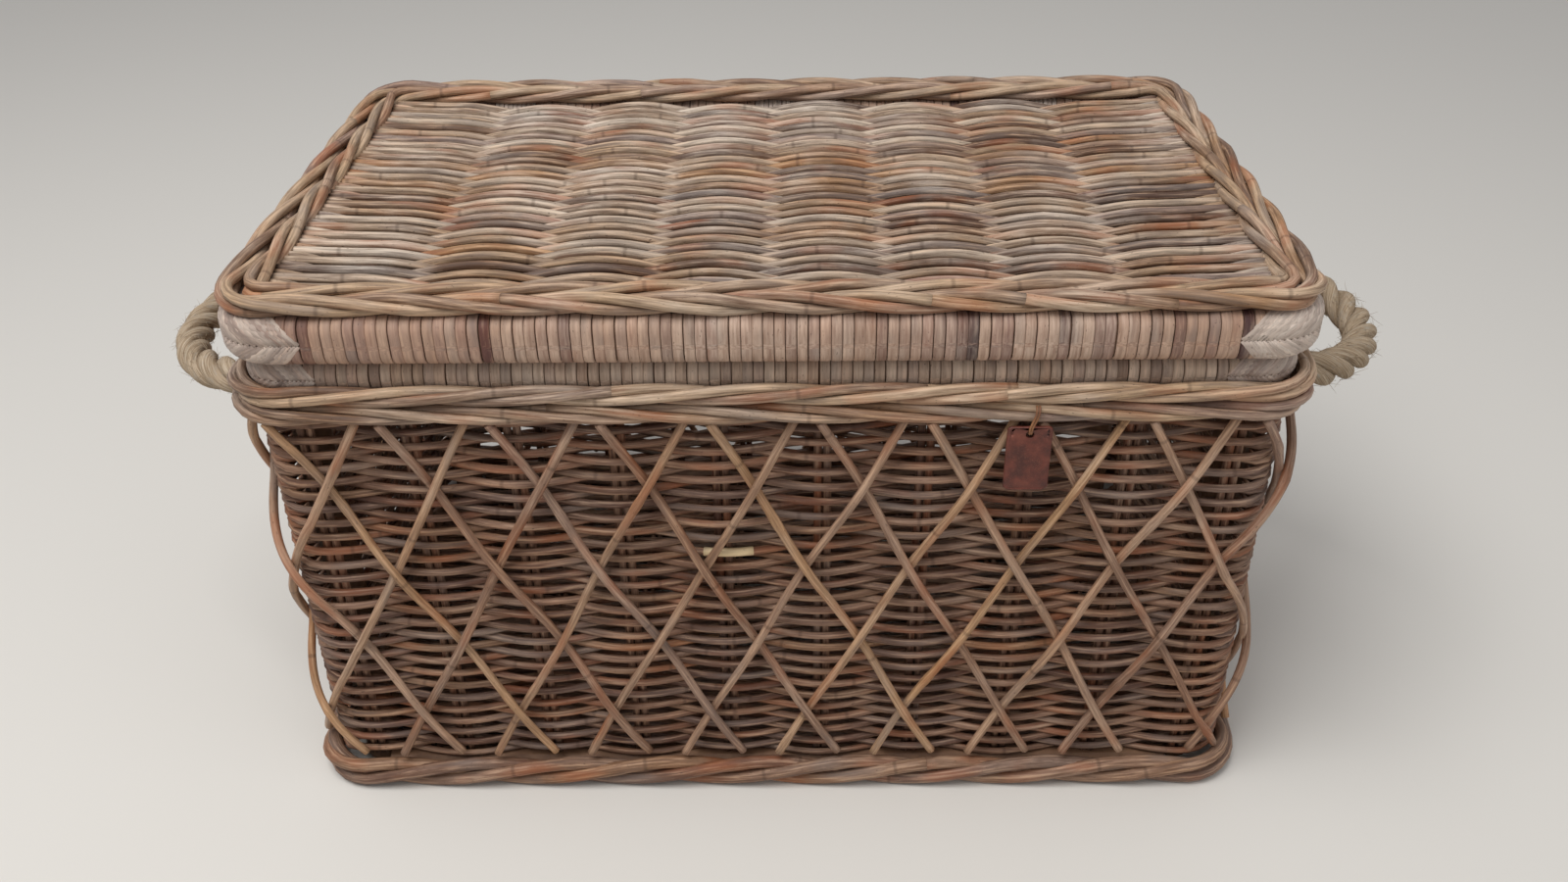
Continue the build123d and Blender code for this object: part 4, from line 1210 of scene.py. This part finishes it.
def rope_handles():
    """Both handles with their knots."""
    look = rope_look()
    for name, sign in (("left", -1), ("right", 1)):
        origin, outward = handle_frame(sign)
        line = handle_line(sign)
        points = line / MM
        strands = Strands()
        laid_rope(strands, points, ROPE_RADIUS, ROPE_LAY, UP)
        body = f"{name}_handle"
        rope = place(f"{name}_laid_rope", strands, look, body, [f"{name}_rope_handle"])
        hairs = Strands()
        loose_fibres(hairs, points, UP)
        place(f"{name}_rope_fibres", hairs, look, body, [])
        knots = Strands()
        for end in (HANDLE_ROUTE[0], HANDLE_ROUTE[-1]):
            face = (origin + end[0] * outward + end[1] * BACK) / MM
            stopper_knot(knots, face - outward * KNOT_LENGTH / 2, outward)
        place(f"{name}_stopper_knots", knots, look, body, [f"{name}_handle_knots"])


# Leather tag
TAG_EDGE = 2.5
TAG_HOLE = 2.6
TAG_HOLE_INSET = 5.5
TAG_CURL = 1.1
TAG_SPOKES = 72
# Rings from the hole to the edge: share of the way, distance in from the edge, and how deep it is pressed
TAG_RINGS = [(0.0, 0.0, 0.3), (0.02, 0.0, 0.0)]
TAG_RINGS += [(share, 0.0, 0.0) for share in (0.2, 0.4, 0.6, 0.8)]
TAG_RINGS += [(1.0, 2.4, 0.0), (1.0, 2.0, 0.25), (1.0, 1.6, 0.0), (1.0, 0.5, 0.0), (1.0, 0.0, 0.6)]
LACE_RADIUS = 0.9
LACE_LEAN = 0.9  # from the lace's middle to each of its two strands
LACE_SIDE = 4.0  # its top lies this far to the right of the hole
LACE_TUCK = 1.0
LACE_STEP = 0.8
LACE_SMOOTHING = 3


def rounded_outline(half_x, half_z, radius, directions, centre):
    """Where rays from a centre meet a rounded rectangle round the origin."""
    reach = np.zeros(len(directions))
    for i, ray in enumerate(directions):
        low, high = 0.0, 4 * max(half_x, half_z)
        for _ in range(40):
            middle = (low + high) / 2
            spot = np.abs(centre + ray * middle)
            past = np.maximum(spot - np.array([half_x - radius, half_z - radius]), 0)
            if np.hypot(*past) < radius:
                low = middle
            else:
                high = middle
        reach[i] = low
    return reach


def tag_places():
    """Middle and half size of the tag, and its hole's place from that middle."""
    low, high = corners_of("leather_tag")
    half = (high - low) / 2
    return (low + high) / 2, half, np.array([0.0, half[2] - TAG_HOLE_INSET])


def tag_hide():
    """A plain tag with a pressed line near its edge, curled a little."""
    middle, half, hole = tag_places()
    turn = 2 * math.pi * np.arange(TAG_SPOKES) / TAG_SPOKES
    rays = np.column_stack([np.cos(turn), np.sin(turn)])
    edge = rounded_outline(half[0], half[2], TAG_EDGE, rays, hole)
    verts = []
    for face in (-1, 1):
        for share, inset, press in TAG_RINGS[::-face]:
            reach = TAG_HOLE + share * (edge - TAG_HOLE) - inset
            flat = hole + rays * reach[:, None]
            curl = TAG_CURL * (flat[:, 1] / half[2]) ** 2 * (flat[:, 1] < 0)
            y = middle[1] + face * (half[1] - press) - curl
            verts.append(np.column_stack([middle[0] + flat[:, 0], y, middle[2] + flat[:, 1]]))
    quads = tube_faces(len(verts), len(verts), TAG_SPOKES)[2]
    # Taken this way round, the corners make faces that look outward
    faces = quads[:, [0, 3, 2, 1]].tolist()
    mesh = bpy.data.meshes.new("tag_hide")
    mesh.from_pydata((np.concatenate(verts) * MM).tolist(), [], faces)
    mesh.polygons.foreach_set("use_smooth", np.ones(len(faces), bool))
    mesh.update()
    mesh.materials.append(leather_look("tag_leather", HIDE_COLOURS))
    hide = add("tag_hide", mesh)
    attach(hide, "tag")
    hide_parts("leather_tag")


def tag_cord():
    """The lace that the tag hangs from: two strands from the lower wale over the tag's face to its hole."""
    middle, _, hole = tag_places()
    low, high = corners_of("tag_lace")
    strands = Strands()
    out = low[1] + LACE_RADIUS
    tuck = np.array([middle[0] + LACE_SIDE, high[1] - LACE_TUCK, high[2] - LACE_RADIUS])
    hole_spot = np.array([middle[0], middle[1], middle[2] + hole[1]])
    for lean in (-LACE_LEAN, LACE_LEAN):
        route = np.array(
            [
                tuck + (lean, 0, 0),
                (tuck[0] + lean, (tuck[1] + out) / 2, tuck[2] - 0.4),
                (tuck[0] + lean - 0.5, out, tuck[2] - 4.0),
                (hole_spot[0] + lean * 0.8, out, hole_spot[2] + 5.0),
                (hole_spot[0] + lean * 0.6, out + 0.2, hole_spot[2] + 1.2),
                hole_spot + (lean * 0.5, 0.6, 0.0),
            ]
        )
        smooth, _ = evenly(route, LACE_STEP)
        for _ in range(LACE_SMOOTHING):
            smooth[1:-1] = (smooth[:-2] + 2 * smooth[1:-1] + smooth[2:]) / 4
        strands.rod(smooth, LACE_RADIUS * 0.8, rng.uniform(0, 1), sides=7, up=RIGHT)
    look = leather_look("lace_leather", LACE_COLOURS)
    place("tag_cord", strands, look, "tag", ["tag_lace"])


def bare_poles():
    """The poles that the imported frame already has, in their own look."""
    look = pole_look()
    kept = [f"{rail}_{side}_pole" for rail in ("rim", "lid") for side, _, _ in SIDES]
    for node in kept + ["corner_posts", "base_long_poles", "base_short_poles"]:
        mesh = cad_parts[node].data
        mesh.materials.clear()
        mesh.materials.append(look)


# Stage
CAMERA_PLACE = np.array([0.0169, -0.940, 0.777])
CAMERA_PITCH = math.radians(32.71)  # below level
CAMERA_YAW = math.radians(-0.65)
CAMERA_ROLL = math.radians(0.66)
CAMERA_LENS = 31.4
CAMERA_SENSOR = 36.0
FLOOR_HALF = 6.0
FLOOR_COLOUR = "d8d4cd"
SKY_COLOUR = (0.96, 0.97, 1.0, 1.0)
SKY_STRENGTH = 0.42
# Name, place, aim, size in metres and power in watts
LIGHTS = (
    ("key", (-0.7, -0.75, 2.5), (0, 0, 0.3), 1.6, 54),
    ("fill", (1.8, -1.2, 1.4), (0, 0, 0.2), 1.8, 6),
)


def camera():
    """The viewpoint of the photograph."""
    data = bpy.data.cameras.new("camera")
    data.lens = CAMERA_LENS
    data.sensor_width = CAMERA_SENSOR
    made = add("camera", data)
    turns = ((-CAMERA_YAW, "Z"), (math.pi / 2 - CAMERA_PITCH, "X"), (-CAMERA_ROLL, "Z"))
    made.matrix_world = Matrix.Translation(CAMERA_PLACE)
    for angle, axis in turns:
        made.matrix_world = made.matrix_world @ Matrix.Rotation(angle, 4, axis)
    bpy.context.scene.camera = made


def light(name, spot, aim, size, power):
    """A soft square light that looks at a point."""
    data = bpy.data.lights.new(name, "AREA")
    data.size = size
    data.energy = power
    back = unit(np.array(spot) - np.array(aim))
    right = unit(np.cross(UP, back))
    turned = np.eye(4)
    turned[:3] = np.column_stack([right, np.cross(back, right), back, spot])
    add(name, data).matrix_world = Matrix(turned.tolist())


def studio():
    """A pale floor and soft light."""
    mesh = bpy.data.meshes.new("floor")
    corners = [(sx * FLOOR_HALF, sy * FLOOR_HALF, 0) for sx, sy in ((-1, -1), (1, -1), (1, 1), (-1, 1))]
    mesh.from_pydata(corners, [], [(0, 1, 2, 3)])
    look = Look("floor")
    mesh.materials.append(look.finish({"Base Color": shade(FLOOR_COLOUR), "Roughness": 0.8}))
    floor = add("floor", mesh)
    floor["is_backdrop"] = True
    world = bpy.data.worlds.new("studio")
    world.use_nodes = True
    sky = world.node_tree.nodes["Background"]
    sky.inputs["Color"].default_value = SKY_COLOUR
    sky.inputs["Strength"].default_value = SKY_STRENGTH
    scene = bpy.context.scene
    scene.world = world
    scene.view_settings.view_transform = "Standard"
    for lamp in LIGHTS:
        light(*lamp)


rope_handles()
woven_walls()
wall_stakes()
lattice()
wales()
foot_border()
rail_wraps()
corner_bindings()
hinge_lashings()
lid_top()
base()
tag_hide()
tag_cord()
bare_poles()
camera()
studio()

sizes = {"cad": cad_box, "visual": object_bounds()}
{name: [list(map(float, corner)) for corner in box] for name, box in sizes.items()}
